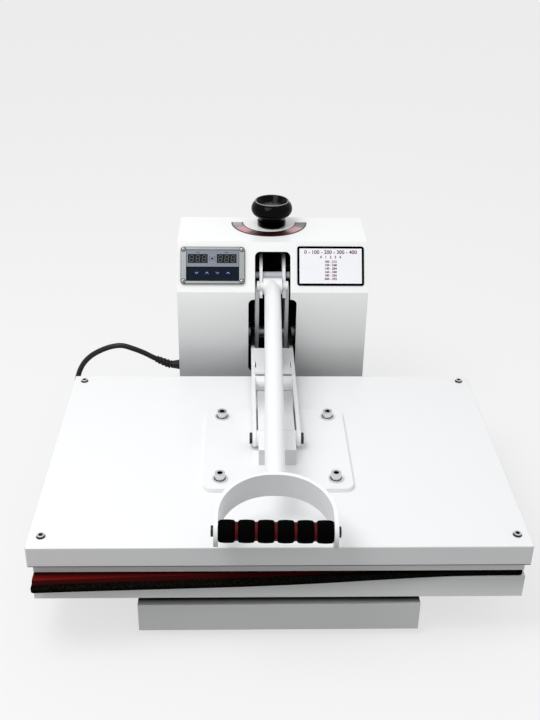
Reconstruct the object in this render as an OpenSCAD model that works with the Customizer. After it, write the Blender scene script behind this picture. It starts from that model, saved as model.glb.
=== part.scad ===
// Manual heat press: a flat heated head on a toggle lever closes on a padded bed.
// Millimetres, Z up. The handle is at -Y, the tower at +Y, and the feet stand on Z = 0.

/* [Head] */
// Width of the heat plate
platen_w = 600; // [480:5:720]
// Depth of the heat plate
platen_d = 400; // [340:5:460]
// Thickness of the heat plate
heat_plate_t = 13; // [8:0.5:20]
// Overhang of the painted cover past the heat plate
cover_lip = 6; // [3:0.5:10]
// Height of the painted cover
cover_h = 29; // [22:0.5:40]
// Sheet thickness of the cover
cover_t = 1.5; // [1:0.1:2.5]
// Corner radius of the cover
cover_r = 3; // [3:0.5:12]
// Width of the mount plate on the cover
mount_w = 197; // [180:1:240]
// Depth of the mount plate
mount_d = 195; // [180:1:240]
// Thickness of the mount plate
mount_t = 6; // [4:0.5:10]
// Spacing of the four mount screws
mount_pitch = 152; // [130:1:160]
// Thread diameter of the mount screws
mount_screw_d = 8; // [6:0.5:10]

/* [Bed] */
// Width of the lower bed
bed_w = 606; // [500:2:720]
// Depth of the lower bed
bed_d = 400; // [340:5:460]
// Height of the lower bed
bed_h = 32; // [24:1:45]
// Thickness of the bed plate
bed_plate_t = 5; // [3:0.5:10]
// Gap between the base and the bed
bed_gap = 12; // [8:1:20]
// Thickness of the sponge pad
foam_t = 6; // [4:0.5:10]
// Thickness of the silicone pad
silicone_t = 3.7; // [2:0.1:5]
// Overhang of the sponge pad at the bed's front left corner
foam_hang = 27; // [0:0.5:36]
// Distance that the sponge pad stays back at the bed's front right corner
foam_back = 1; // [0:0.5:20]
// Distance from the sponge pad's front edge back to the silicone pad's
silicone_back = 5; // [0:0.5:12]

/* [Base] */
// Width of the base over its rails
base_w = 354; // [330:2:420]
// Width of one base rail
rail_w = 40; // [30:1:60]
// Height of the base rails
rail_h = 42; // [30:1:60]
// Wall of the base tubes
rail_t = 2.5; // [1.5:0.1:4]
// Height of the rubber feet
foot_h = 10; // [6:0.5:20]
// Diameter of the rubber feet
foot_d = 34; // [20:1:38]

/* [Tower] */
// Width of the tower
tower_w = 296; // [280:2:340]
// Gap between the head cover and the tower
tower_gap = 48; // [40:1:70]
// Depth of the tower at its foot
tower_d = 151; // [145:1:180]
// Sheet thickness of the tower
sheet_t = 1.5; // [1:0.1:3]
// Set-back of the slanted panel between its two bends
panel_back = 44; // [38:1:50]
// Rise of the slanted panel between its two bends
panel_rise = 67; // [64:1:80]
// Width of the arm slot in the front panel
slot_w = 75; // [72:1:90]
// Width of the lever slot in the slanted panel
slot_neck_w = 55; // [53:1:62]
// Thickness of the two uprights
upright_t = 6; // [5:0.5:8]

/* [Controller] */
// Width of the controller bezel
bezel_w = 99; // [94:1:104]
// Height of the controller bezel
bezel_h = 58; // [56:0.5:60]
// Diameter of the keys
key_d = 8.5; // [6:0.1:10]
// Travel of the keys
key_travel = 0.6; // [0.3:0.1:0.6]

/* [Mechanism] */
// Height of the arm pivots over the mount plate
pivot_rise = 14; // [13:0.5:18]
// Height of the lever pivot over the arm pivots
lever_rise = 105; // [100:1:115]
// Distance from the hinge shaft to the foot of the toggle link
link_foot = 170; // [165:1:178]
// Distance from the lever pivot to the knee pin of the toggle
crank = 85; // [80:1:90]
// Thickness of the arm plates
arm_t = 5.5; // [4:0.5:7]
// Height of the arm plates
arm_h = 23; // [20:0.5:25]
// Diameter of the hinge shaft
hinge_d = 20; // [16:0.5:24]
// Diameter of the pivot bolt in the head
pivot_d = 12; // [10:0.5:14]
// Diameter of the pressure screw
screw_d = 16; // [12:0.5:18]
// Travel of the pressure carriage either way
press_travel = 4; // [2:0.5:4]
// Largest diameter of the pressure knob
knob_d = 66; // [60:1:72]
// Height of the pressure knob
knob_h = 41; // [38:1:50]

/* [Lever] */
// Slope of the lever when the press is closed
lever_tilt = 9; // [7:0.5:10]
// Sideways lean of the lever, from its play
lever_yaw = 0.9; // [0:0.1:1]
// Diameter of the lever tube
tube_d = 25.4; // [22:0.1:26]
// Wall of the lever tube
tube_t = 2; // [1.5:0.1:3]
// Distance from the lever pivot to the back of the handle bow
bow_reach = 430; // [390:1:440]
// Distance from the back of the handle bow to the grip's axis
bow_depth = 79; // [70:1:90]
// Outer width of the handle bow
bow_w = 143; // [130:1:160]
// Outer corner radius of the handle bow
bow_r = 68; // [60:1:70]
// Thickness of the handle bow's flat bar
bow_t = 5; // [4:0.5:8]
// Width of the handle bow's flat bar
bow_bar = 36; // [30:1:38]
// Diameter of the grip rings
grip_d = 27; // [25:0.5:30]
// Width of the grooves between the grip rings
groove_w = 3; // [2:0.5:6]

/* [Lead] */
// Diameter of the mains lead
cord_d = 9; // [8.5:0.1:9]

/* [Hidden] */
$fn = 64;

// Fits
close_gap = 0.3;
run_gap = 0.05;
slide_gap = 0.2;
hole_gap = 0.5;
key_gap = 0.1;

// Levels, from the bench upwards
rail_z = foot_h;
base_top = rail_z + rail_h;
bed_z = base_top + bed_gap;
bed_top = bed_z + bed_h;
silicone_z = bed_top + foam_t;
plate_z = silicone_z + silicone_t + close_gap;
cover_z = plate_z + heat_plate_t;
cover_top = cover_z + cover_h;
mount_top = cover_top + mount_t;
pivot_z = mount_top + pivot_rise;
lever_z = pivot_z + lever_rise;

// Outer sizes of the cover
cover_w = platen_w + 2 * cover_lip;
cover_d = platen_d + 2 * cover_lip;

// Tower: Y is counted from the middle of the heat plate
tower_y = cover_d / 2 + tower_gap;
rear_y = tower_y + tower_d;
rail_set = 32;
rail_rear = rear_y - rail_set;
bend_z = lever_z - 4;
tower_top_z = bend_z + panel_rise;
lean = atan2(panel_back, panel_rise);
panel_l = norm([panel_back, panel_rise]);
bend_inner = [tower_y + sheet_t, bend_z - sheet_t * tan(lean / 2)];
brow = [tower_y + panel_back, tower_top_z];
brow_inner = [brow[0] + sheet_t * tan((90 - lean) / 2), tower_top_z - sheet_t];
slot_r = 8;
slot_foot_drop = 38;
slot_foot_z = pivot_z - slot_foot_drop;
slot_step_drop = 12;
slot_step_z = bend_z - slot_step_drop;
slot_head_drop = 16;
slot_head = panel_l - slot_head_drop;

// Mechanism places
hinge_set = 66;
lever_set = 16;
knob_set = 35;
hinge_y = tower_y + hinge_set;
lever_y = tower_y + lever_set;
toggle_y = hinge_y - link_foot;
knob_y = rear_y - knob_set;
toggle_l = norm([lever_y - toggle_y, lever_rise]);
toggle_a = atan2(lever_rise, lever_y - toggle_y);
link_l = toggle_l - crank;
knee_a = toggle_a - lever_tilt;

// Stack across the middle of the press
yoke_x = 15.5;
yoke_t = 4.8;
upright_x = yoke_x + yoke_t + slide_gap;
arm_gap = 1;
arm_x = upright_x + upright_t + arm_gap;
arm_out = arm_x + arm_t;
link_x = 4.5;
link_t = 5;
link_gap = 0.7;
tube_gap_x = link_x + link_t + link_gap;

// Carriage, uprights and pressure screw
yoke_set = 8;
yoke_drop = 17;
yoke_rise = 47;
yoke_tail = 18;
yoke_brow = 6;
yoke_heel = 12;
yoke_front = tower_y + yoke_set;
yoke_foot_z = lever_z - yoke_drop;
yoke_top_z = lever_z + yoke_rise;
yoke_rear = knob_y + yoke_tail;
bar_set = 20;
bar_rise = 9;
bar_y = lever_y + bar_set;
bar_z = lever_z + bar_rise;
bar_d = 12.5;
upright_set = 12;
upright_tail = 13;
upright_rise = 25;
upright_front = lever_y + upright_set;
upright_rear = rear_y - upright_tail;
upright_mid_z = lever_z + upright_rise;
thrust_gap = 2;
thrust_z = yoke_top_z + press_travel + thrust_gap;
thrust_t = 6;
thrust_reach = 25;
thrust_front = knob_y - thrust_reach;
collar_h = 2;
nut_rise = 15;
nut_z = lever_z + nut_rise;
nut_h = 28;
nut_d = 30;
lever_pin_d = 12;
pin_head_d = 16;
pin_head_h = 4;
knob_lift = 1.2;
knob_bore = knob_h - 17;
scale_t = 0.8;
scale_in = 42;
scale_out = 61;
scale_x = -4;
scale_back = 10;
scale_y = knob_y + scale_back;

// Controller on the slanted panel
bezel_inset = 55;
bezel_x = bezel_inset - tower_w / 2;
bezel_foot = 13;
bezel_t = 4;
bezel_side = 8.5;
bezel_rim = 4.5;
face_t = 3;
bezel_r = 5;
case_d = 44;
case_w = bezel_w - 15;
case_h = bezel_h - 7;
window_w = 30.5;
window_h = 14;
window_x = [-23, 21.6];
window_rise = 10.6;
window_t = 2;
key_x = [-24.8, -8.8, 7.5, 23.9];
key_drop = 11.8;
key_proud = 0.6;
label_w = 104;
label_h = 62;
label_inset = 58;
label_x = tower_w / 2 - label_inset;
label_foot = 11;
label_t = 1;
label_r = 4;

// Lever parts, counted along the lever from its pivot
sleeve_d = 26;
sleeve_w = 29.4;
grip_s = bow_reach + bow_depth;
grip_l = bow_w - 2 * bow_t;
grip_count = 6;
core_d = 22;
ring_w = (grip_l - (grip_count - 1) * groove_w) / grip_count;
grip_bolt_d = 10;
grip_head_d = 13;
grip_head_h = 3.5;
lug_t = 8;
knee_d = 10;
knee_r = 11;

// Knee of the toggle in the level lever, as [along Y, up]
knee = [-crank * cos(knee_a), -crank * sin(knee_a)];

// Head fittings
mount_r = 13;
mount_head_d = 13.5;
mount_head_h = 8.5;
mount_socket_d = 7;
washer_d = 20;
washer_t = 2;
screw_inset = 10;
screw_inset_front = 16;
cover_screw_d = 6;
cover_head_d = 11.5;
cover_head_h = 3;
cover_screw_l = 12;
cover_edge_r = 1.5;
standoff_d = 12;
block_w = 50;
block_front = 44;
block_rear = 110;
block_h = pivot_rise + 10;
boss_d = 22;
bolt_head_af = 15;
bolt_head_h = 4;
web_t = 4;
web_w = 2 * arm_out - 4;
web_front = toggle_y + 6;
web_l = 76;
web_notch = 48;
cross_tube_d = 22;

// Posts, feet and gland
post_d = 30;
post_inset = 60;
post_y = bed_d / 2 - post_inset;
foot_inset = 4;
foot_y = rail_w + foot_d / 2 + foot_inset - bed_d / 2;
floor_t = 6;
skirt_t = 2;
gland_y = hinge_y + 20;
gland_z = base_top + 42;
gland_nut_d = 22;
gland_nut_h = 5;
gland_nose_h = 16;
gland_hole_d = 14;
gland_tip_x = -(tower_w / 2 + gland_nut_h + gland_nose_h);

// Mains lead: hand-chosen points from the gland to the coil, [x, y, z]
coil_mid = [-283, 285];
coil_out = 56;
coil_pitch = 10;
coil_turns = 2;
coil_lift = 0.7;
coil_z = cord_d / 2 + coil_lift;
coil_rise = 9.6;
coil_dip = 4;
coil_rings = 24;
tie_t = 0.6;
tie_w = 12;
tie_side = 0.8;
plug_start = 33;
lead_route = [
    [gland_tip_x, gland_y, gland_z], [-183, 340, 96], [-198, 340, 104], [-214, 341, 114],
    [-232, 341, 124], [-250, 342, 129], [-268, 342, 127], [-286, 342, 120], [-302, 343, 110],
    [-315, 344, 97], [-324, 345, 82], [-330, 346, 65], [-334, 344, 47], [-337, 337, 30],
    [-339, 325, 16], [-339, 310, 8], [coil_mid[0] - coil_out, coil_mid[1] + cord_d, coil_z]
];

// The front of the handle and the back of the tower set the origin between them
handle_reach = grip_s * cos(lever_yaw) + bow_w / 2 * sin(lever_yaw);
handle_front = lever_y - handle_reach * cos(lever_tilt) - bow_bar / 2;
origin_y = (handle_front + rear_y) / 2;

// Moves a piece from the platen's middle to the part's own origin
module place() {
    translate([0, -origin_y, 0]) children();
}

// Carries a side view, drawn as [y, z], along X
module along_x(w) {
    rotate([90, 0, 90]) linear_extrude(w, center = true) children();
}

// Carries a front view, drawn as [x, z], towards the back
module to_back(depth) {
    translate([0, depth, 0]) rotate([90, 0, 0]) linear_extrude(depth) children();
}

// A round bar along X
module bar_x(d, l) {
    rotate([0, 90, 0]) cylinder(d = d, h = l, center = true);
}

// A copy on each side of the press
module both_sides() {
    children();
    mirror([1, 0, 0]) children();
}

module rounded(w, d, r) {
    square([w - 2 * r, d], center = true);
    square([w, d - 2 * r], center = true);
    for (x = [-1, 1], y = [-1, 1])
        translate([x * (w / 2 - r), y * (d / 2 - r)]) circle(r);
}

// A bar with round ends between two points of a view
module link_outline(a, b, r) {
    run = b - a;
    translate(a) circle(r);
    translate(b) circle(r);
    translate(a) rotate(atan2(run[1], run[0])) translate([0, -r]) square([norm(run), 2 * r]);
}

// The slanted panel stood upright: X across, Z up the slope, -Y outwards
module on_panel(x, up) {
    translate([0, tower_y, bend_z]) rotate([-lean, 0, 0]) translate([x, 0, up]) children();
}

// The lever laid level: -Y runs along the lever to the handle
module on_lever() {
    translate([0, lever_y, lever_z]) rotate([lever_tilt, 0, 0]) children();
}

// The tube and the handle lean sideways by the lever's play
module on_tube() {
    on_lever() rotate([0, 0, -lever_yaw]) children();
}

module at_mount_screws() {
    for (x = [-1, 1], y = [-1, 1])
        translate([x * mount_pitch / 2, y * mount_pitch / 2, 0]) children();
}

module at_cover_screws() {
    for (x = [-1, 1], y = [screw_inset_front - platen_d / 2, platen_d / 2 - screw_inset])
        translate([x * (platen_w / 2 - screw_inset), y, 0]) children();
}

// Base and bed

module rubber_feet() {
    taper = 4;
    color("#202020") place()
        for (x = [-1, 1], y = [foot_y, rail_rear - foot_d / 2 - foot_inset])
            translate([x * (base_w - rail_w) / 2, y, 0])
                cylinder(d1 = foot_d - taper, d2 = foot_d, h = foot_h);
}

// Square tubes that run back from the front crossbar
module base_rails() {
    front = rail_w - bed_d / 2;
    color("#e9ebec") place() both_sides()
        translate([(base_w - rail_w) / 2, front, rail_z + rail_h / 2]) to_back(rail_rear - front) difference() {
            square([rail_w, rail_h], center = true);
            square([rail_w, rail_h] - 2 * [rail_t, rail_t], center = true);
        }
}

// Front crossbar, folded and open below, and the floor plate under the tower
module base_crossbars() {
    inner_w = base_w - 2 * rail_w;
    color("#e9ebec") place() {
        translate([-base_w / 2, -bed_d / 2, rail_z]) difference() {
            cube([base_w, rail_w, rail_h]);
            translate([rail_t, rail_t, -1])
                cube([base_w - 2 * rail_t, rail_w - 2 * rail_t, rail_h - rail_t + 1]);
        }
        translate([-inner_w / 2, tower_y, base_top - floor_t]) cube([inner_w, tower_d, floor_t]);
    }
}

module bed_posts() {
    color("#3a3b3d") place()
        for (x = [-1, 1], y = [-1, 1])
            translate([x * (base_w - rail_w) / 2, y * post_y, base_top])
                cylinder(d = post_d, h = bed_top - bed_plate_t - base_top);
}

module bed_plate() {
    color("#eceeef") place()
        translate([-bed_w / 2, -bed_d / 2, bed_top - bed_plate_t]) cube([bed_w, bed_d, bed_plate_t]);
}

module bed_skirt() {
    h = bed_h - bed_plate_t;
    color("#e4e6e8") place() translate([0, 0, bed_z]) {
        for (y = [-bed_d / 2, bed_d / 2 - skirt_t])
            translate([-bed_w / 2, y, 0]) cube([bed_w, skirt_t, h]);
        both_sides()
            translate([bed_w / 2 - skirt_t, skirt_t - bed_d / 2, 0]) cube([skirt_t, bed_d - 2 * skirt_t, h]);
    }
}

// A loose pad as it lies on the bed, askew along its front edge
module loose_pad(t, back) {
    x = platen_w / 2;
    steps = 20;
    wave = 2.5;
    wave_shift = 1.7;
    swing = foam_hang + foam_back;
    front = foam_back + back - bed_d / 2;
    edge = [
        for (i = [0 : steps]) let (u = i / steps)
            [(2 * u - 1) * x, front - swing * (1 - u) - wave * sin(360 * pow(u, wave_shift))]
    ];
    linear_extrude(t) polygon(concat(edge, [[x, bed_d / 2], [-x, bed_d / 2]]));
}

module foam_pad() {
    color("#191919") place() translate([0, 0, bed_top]) loose_pad(foam_t, 0);
}

module silicone_pad() {
    color("#a8281e") place() translate([0, 0, silicone_z]) loose_pad(silicone_t, silicone_back);
}

// Tower

module uprights() {
    side = [
        [upright_front, base_top], [upright_front, upright_mid_z - 20],
        [upright_front + 13, upright_mid_z], [thrust_front, upright_mid_z],
        [thrust_front, thrust_z], [upright_rear, thrust_z], [upright_rear, base_top]
    ];
    guide_d = bar_d + 2 * run_gap;
    color("#77797c") place() both_sides() translate([upright_x + upright_t / 2, 0, 0])
        along_x(upright_t) difference() {
            polygon(side);
            translate([hinge_y, pivot_z]) circle(d = hinge_d);
            link_outline([bar_y, bar_z - press_travel], [bar_y, bar_z + press_travel], guide_d / 2);
        }
}

module thrust_plate() {
    w = 2 * (upright_x + upright_t);
    color("#6d6f72") place() difference() {
        translate([-w / 2, thrust_front, thrust_z]) cube([w, upright_rear - thrust_front, thrust_t]);
        translate([0, knob_y, thrust_z - 1]) cylinder(d = screw_d + 2 * run_gap, h = thrust_t + 2);
    }
}

module hinge_shaft() {
    color("#a9acaf") place() translate([0, hinge_y, pivot_z]) bar_x(hinge_d, 2 * arm_out + 14);
}

module hinge_collars() {
    collar_t = 5;
    color("#8b8e91") place() translate([0, hinge_y, pivot_z]) both_sides()
        translate([arm_out + slide_gap + collar_t / 2, 0, 0]) difference() {
            bar_x(hinge_d + 10, collar_t);
            bar_x(hinge_d, collar_t + 2);
        }
}

module tower_front() {
    side = [[tower_y, base_top], [tower_y, bend_z], bend_inner, [tower_y + sheet_t, base_top]];
    step_h = slot_step_z - slot_foot_z;
    color("#dfe2e4") place() difference() {
        along_x(tower_w) polygon(side);
        translate([0, tower_y - 1, 0]) to_back(sheet_t + 2) {
            translate([0, slot_foot_z + step_h / 2]) rounded(slot_w, step_h, slot_r);
            translate([-slot_neck_w / 2, slot_step_z - slot_r]) square([slot_neck_w, slot_r + bend_z]);
        }
    }
}

module control_panel() {
    side = [[tower_y, bend_z], brow, brow_inner, bend_inner];
    color("#f1f3f4") place() difference() {
        along_x(tower_w) polygon(side);
        on_panel(0, 0) translate([0, -1, 0]) to_back(sheet_t + 2) {
            translate([0, slot_head / 2 - slot_r]) rounded(slot_neck_w, slot_head + 2 * slot_r, slot_r);
        }
        on_panel(bezel_x, bezel_foot + bezel_h / 2) translate([0, -1, 0]) to_back(sheet_t + 2)
            square([case_w + 2 * hole_gap, case_h + 2 * hole_gap], center = true);
    }
}

module tower_top() {
    side = [brow, [rear_y - sheet_t, tower_top_z], [rear_y - sheet_t, tower_top_z - sheet_t], brow_inner];
    color("#f4f5f6") place() difference() {
        along_x(tower_w) polygon(side);
        translate([0, knob_y, tower_top_z - sheet_t - 1])
            cylinder(d = screw_d + 4 * hole_gap, h = sheet_t + 2);
    }
}

module side_panels() {
    side = [
        [tower_y + sheet_t, base_top], bend_inner, brow_inner,
        [rear_y - sheet_t, tower_top_z - sheet_t], [rear_y - sheet_t, base_top]
    ];
    x = (tower_w - sheet_t) / 2;
    color("#d3d6d8") place() {
        translate([x, 0, 0]) along_x(sheet_t) polygon(side);
        translate([-x, 0, 0]) along_x(sheet_t) difference() {
            polygon(side);
            translate([gland_y, gland_z]) circle(d = gland_hole_d);
        }
    }
}

module rear_cover() {
    h = tower_top_z - base_top;
    vent_l = 60;
    vent_h = 5;
    vent_step = 14;
    vent_x = tower_w / 4 + 14;
    color("#d3d6d8") place() translate([0, rear_y - sheet_t, base_top]) to_back(sheet_t) difference() {
        translate([-tower_w / 2, 0]) square([tower_w, h]);
        for (x = [-1, 1], i = [0 : 5])
            translate([x * vent_x - vent_l / 2, h / 3 + i * vent_step]) square([vent_l, vent_h]);
    }
}

module controller_case() {
    color("#2b2c2e") place() on_panel(bezel_x, bezel_foot + bezel_h / 2)
        translate([-case_w / 2, 0, -case_h / 2]) cube([case_w, case_d, case_h]);
}

module controller_bezel() {
    color("#b9bcbf") place() on_panel(bezel_x, bezel_foot + bezel_h / 2)
        translate([0, -bezel_t, 0]) to_back(bezel_t) difference() {
            rounded(bezel_w, bezel_h, bezel_r);
            square([bezel_w - 2 * bezel_side, bezel_h - 2 * bezel_rim], center = true);
        }
}

module controller_face() {
    color("#9ba0a4") place() on_panel(bezel_x, bezel_foot + bezel_h / 2)
        translate([0, -face_t, 0]) to_back(face_t) difference() {
            square([bezel_w - 2 * bezel_side, bezel_h - 2 * bezel_rim], center = true);
            for (x = window_x)
                translate([x, window_rise]) square([window_w, window_h], center = true);
            for (x = key_x)
                translate([x, -key_drop]) circle(d = key_d + 2 * key_gap);
        }
}

module display_windows() {
    color("#1a1c20") place() on_panel(bezel_x, bezel_foot + bezel_h / 2 + window_rise)
        for (x = window_x)
            translate([x - window_w / 2, -window_t, -window_h / 2]) cube([window_w, window_t, window_h]);
}

// One key of the row, standing proud of the face by its travel
module panel_key(i) {
    color("#2f63c9") place() on_panel(bezel_x + key_x[i], bezel_foot + bezel_h / 2 - key_drop)
        rotate([90, 0, 0]) translate([0, 0, key_travel + key_gap])
            cylinder(d = key_d, h = face_t + key_proud - key_travel - key_gap);
}

module temp_down_key() { panel_key(0); }
module temp_up_key() { panel_key(1); }
module time_down_key() { panel_key(2); }
module time_up_key() { panel_key(3); }

module label_plate() {
    color("#ffffff") place() on_panel(label_x, label_foot + label_h / 2)
        translate([0, -label_t, 0]) to_back(label_t) rounded(label_w, label_h, label_r);
}

module scale_plate() {
    color("#c9ccd0") place() translate([scale_x, scale_y, tower_top_z]) intersection() {
        difference() {
            cylinder(r = scale_out, h = scale_t);
            translate([0, 0, -1]) cylinder(r = scale_in, h = scale_t + 2);
        }
        translate([-scale_out, -scale_out, -1]) cube([2 * scale_out, scale_out, scale_t + 2]);
    }
}

// Mains lead

module cord_gland() {
    color("#1c1c1d") place() translate([-tower_w / 2, gland_y, gland_z]) rotate([0, -90, 0]) {
        cylinder(d = gland_nut_d, h = gland_nut_h, $fn = 6);
        translate([0, 0, gland_nut_h])
            cylinder(d1 = gland_nut_d - 5, d2 = cord_d + 2.5, h = gland_nose_h);
    }
}

// Joins rings of points, each a closed loop of the same count, into one tube
module tube_skin(rings) {
    n = len(rings[0]);
    last = len(rings) - 1;
    points = [for (ring = rings) each ring];
    start = [for (k = [1 : n - 2]) [0, k, k + 1]];
    end = [for (k = [1 : n - 2]) [last * n, last * n + k + 1, last * n + k]];
    walls = [
        for (i = [0 : last - 1], k = [0 : n - 1])
            let (a = i * n + k, b = i * n + (k + 1) % n)
                each [[a, a + n, b + n], [a, b + n, b]]
    ];
    polyhedron(points = points, faces = concat(start, end, walls));
}

function unit(v) = v / norm(v);

// Direction of a route at each of its points
function headings(p) = [
    for (i = [0 : len(p) - 1])
        unit(p[min(i + 1, len(p) - 1)] - p[max(i - 1, 0)])
];

// Side vector carried along a route without twisting
function carried(dirs, side, i = 0) =
    i == len(dirs) ? [] :
    let (flat = unit(side - (side * dirs[i]) * dirs[i]))
        concat([flat], carried(dirs, flat, i + 1));

function ring_at(p, dir, side, r, n) =
    let (up = cross(dir, side))
        [for (k = [0 : n - 1]) p + r * (cos(360 * k / n) * side + sin(360 * k / n) * up)];

function swept(p, r, n, dirs, side) =
    let (sides = carried(dirs, side))
        [for (i = [0 : len(p) - 1]) ring_at(p[i], dirs[i], sides[i], r, n)];

// The ends of the lead leave square: out of the gland along -X, into the coil along -Y
function lead_dirs() =
    let (d = headings(lead_route), last = len(d) - 1)
        [for (i = [0 : last]) i == 0 ? [-1, 0, 0] : i == last ? [0, -1, 0] : d[i]];

module cord_lead() {
    color("#141415") place() tube_skin(swept(lead_route, cord_d / 2, 10, lead_dirs(), [0, 0, 1]));
}

// Coil: in on the lower layer, up in the half turn at its middle, and out on the upper layer
coil_in = coil_out - coil_pitch * coil_turns;
coil_span = 2 * coil_turns + 0.5;

function coil_radius(t) =
    t < coil_turns ? coil_out - coil_pitch * t :
    t < coil_turns + 0.5 ? coil_in - coil_dip * sin(360 * (t - coil_turns)) :
    coil_in + coil_pitch * (t - coil_turns - 0.5);

function coil_height(t) =
    let (u = min(1, max(0, 2 * (t - coil_turns))))
        coil_z + coil_rise * u * u * (3 - 2 * u);

function coil_point(t) =
    [
        coil_mid[0] + coil_radius(t) * cos(180 + 360 * t),
        coil_mid[1] + coil_radius(t) * sin(180 + 360 * t),
        coil_height(t)
    ];

coil_points = [for (i = [0 : coil_span * coil_rings]) coil_point(i / coil_rings)];
coil_head = coil_points[0] + [0, cord_d, 0];
coil_end = coil_points[len(coil_points) - 1];
coil_tail = coil_end + [0, plug_start, 0];
coil_path = concat([coil_head], coil_points, [coil_end + [0, plug_start - cord_d, 0], coil_tail]);

function coil_dirs() =
    let (d = headings(coil_path), last = len(d) - 1)
        [for (i = [0 : last]) i == 0 ? [0, -1, 0] : i >= last - 1 ? [0, 1, 0] : d[i]];

// Least gap between turns: points at least half a turn apart along the coil
coil_self_gap = min([
    for (i = [0 : len(coil_points) - 1], j = [i + coil_rings / 2 : len(coil_points) - 1])
        norm(coil_points[i] - coil_points[j])
]) - cord_d;

function route_length(p) = len(p) < 2 ? 0 : [for (i = [1 : len(p) - 1]) norm(p[i] - p[i - 1])] *
    [for (i = [1 : len(p) - 1]) 1];

module cord_coil() {
    echo(coil_least_gap = coil_self_gap);
    echo(lead_length = route_length(lead_route) + route_length(coil_path));
    color("#141415") place() tube_skin(swept(coil_path, cord_d / 2, 6, coil_dirs(), [1, 0, 0]));
}

// Strap round both layers, where the turns lie straight over each other
module cord_tie() {
    in_r = coil_out - 1.75 * coil_pitch;
    out_r = coil_out - 0.75 * coil_pitch;
    gap = coil_lift - tie_t;
    span = out_r - in_r + cord_d + 2 * tie_side;
    tall = coil_rise + cord_d + 2 * gap;
    color("#2a2a2c") place()
        translate([coil_mid[0], coil_mid[1] + (in_r + out_r) / 2, coil_z + coil_rise / 2])
            along_x(tie_w) difference() {
                rounded(span + 2 * tie_t, tall + 2 * tie_t, 3 + tie_t);
                rounded(span, tall, 3);
            }
}

// Moulded plug with two round pins, lying beside the coil
module cord_plug() {
    relief_l = 22;
    body_l = 38;
    body_r = coil_tail[2];
    pin_l = 19;
    pin_d = 4.8;
    pin_pitch = 19;
    color("#161617") place() translate(coil_tail) rotate([-90, 0, 0]) {
        cylinder(d1 = cord_d + 1, d2 = cord_d + 7, h = relief_l);
        translate([0, 0, relief_l]) {
            cylinder(r1 = body_r - 3, r2 = body_r, h = 6);
            translate([0, 0, 6]) cylinder(r = body_r, h = body_l - 6);
        }
        for (x = [-1, 1])
            translate([x * pin_pitch / 2, 0, relief_l + body_l]) cylinder(d = pin_d, h = pin_l);
    }
}

// Pressure carriage and knob

module yoke_plates() {
    slope = panel_back / panel_rise;
    side = [
        [yoke_front, yoke_foot_z], [yoke_front, yoke_foot_z + yoke_brow],
        [yoke_front + slope * (yoke_top_z - yoke_foot_z - yoke_brow), yoke_top_z],
        [yoke_rear, yoke_top_z], [yoke_rear, nut_z], [bar_y + yoke_heel, yoke_foot_z]
    ];
    color("#e8eaeb") place() both_sides() translate([yoke_x + yoke_t / 2, 0, 0])
        along_x(yoke_t) difference() {
            polygon(side);
            translate([lever_y, lever_z]) circle(d = lever_pin_d);
            translate([bar_y, bar_z]) circle(d = bar_d);
        }
}

module crossbar() {
    color("#9da0a3") place() translate([0, bar_y, bar_z]) bar_x(bar_d, 2 * (upright_x + upright_t) + 1);
}

module nut_block() {
    color("#85888b") place() difference() {
        translate([-yoke_x, knob_y - nut_d / 2, nut_z]) cube([2 * yoke_x, nut_d, nut_h]);
        translate([0, knob_y, nut_z - 1]) cylinder(d = screw_d + 2 * run_gap, h = nut_h + 2);
    }
}

module lever_pin() {
    head_x = yoke_x + yoke_t;
    color("#a9acaf") place() translate([0, lever_y, lever_z]) {
        bar_x(lever_pin_d, 2 * head_x);
        both_sides() translate([head_x + pin_head_h / 2, 0, 0]) bar_x(pin_head_d, pin_head_h);
    }
}

module pressure_knob() {
    collar_r = 23;
    collar_top = 8;
    neck_r = 17.5;
    bowl_r = 20;
    bowl_z = 15;
    waist_z = 27;
    lip_r = 26.5;
    dish_z = 31;
    dish_r = 18;
    bulge = [for (a = [-90 : 10 : 50])
        [bowl_r + (knob_d / 2 - bowl_r) * cos(a), waist_z + (a < 0 ? waist_z - bowl_z : knob_h - waist_z) * sin(a)]];
    rim = [[lip_r + 0.8, knob_h - 1], [lip_r - 0.6, knob_h], [lip_r - 2, knob_h - 0.8]];
    color("#131314") place() translate([0, knob_y, tower_top_z + knob_lift]) difference() {
        rotate_extrude() polygon(concat(
            [[0, 0], [collar_r - 1, 0], [collar_r, 1], [collar_r, collar_top - 1], [collar_r - 1, collar_top]],
            [[neck_r + 1, collar_top + 1], [neck_r, collar_top + 3], [neck_r, bowl_z - 2], [neck_r + 1, bowl_z - 0.5]],
            bulge, rim, [[dish_r, dish_z], [0, dish_z]]
        ));
        translate([0, 0, -1]) cylinder(d = screw_d, h = knob_bore + 1);
    }
}

module pressure_screw() {
    z0 = nut_z - press_travel - 8;
    z1 = tower_top_z + knob_lift + knob_bore;
    collar_z = thrust_z + thrust_t + run_gap;
    color("#b2b5b8") place() translate([0, knob_y, 0]) {
        translate([0, 0, z0]) cylinder(d = screw_d, h = z1 - z0);
        translate([0, 0, collar_z]) cylinder(d = screw_d + 10, h = collar_h);
    }
}

// Arm

module arm_plates() {
    eye_r = hinge_d / 2 + 8;
    color("#f2f3f4") place() both_sides() translate([arm_x + arm_t / 2, 0, 0])
        along_x(arm_t) difference() {
            union() {
                link_outline([0, pivot_z], [hinge_y, pivot_z], arm_h / 2);
                translate([hinge_y, pivot_z]) circle(eye_r);
            }
            translate([0, pivot_z]) circle(d = pivot_d);
            translate([hinge_y, pivot_z]) circle(d = hinge_d + 2 * run_gap);
        }
}

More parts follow.
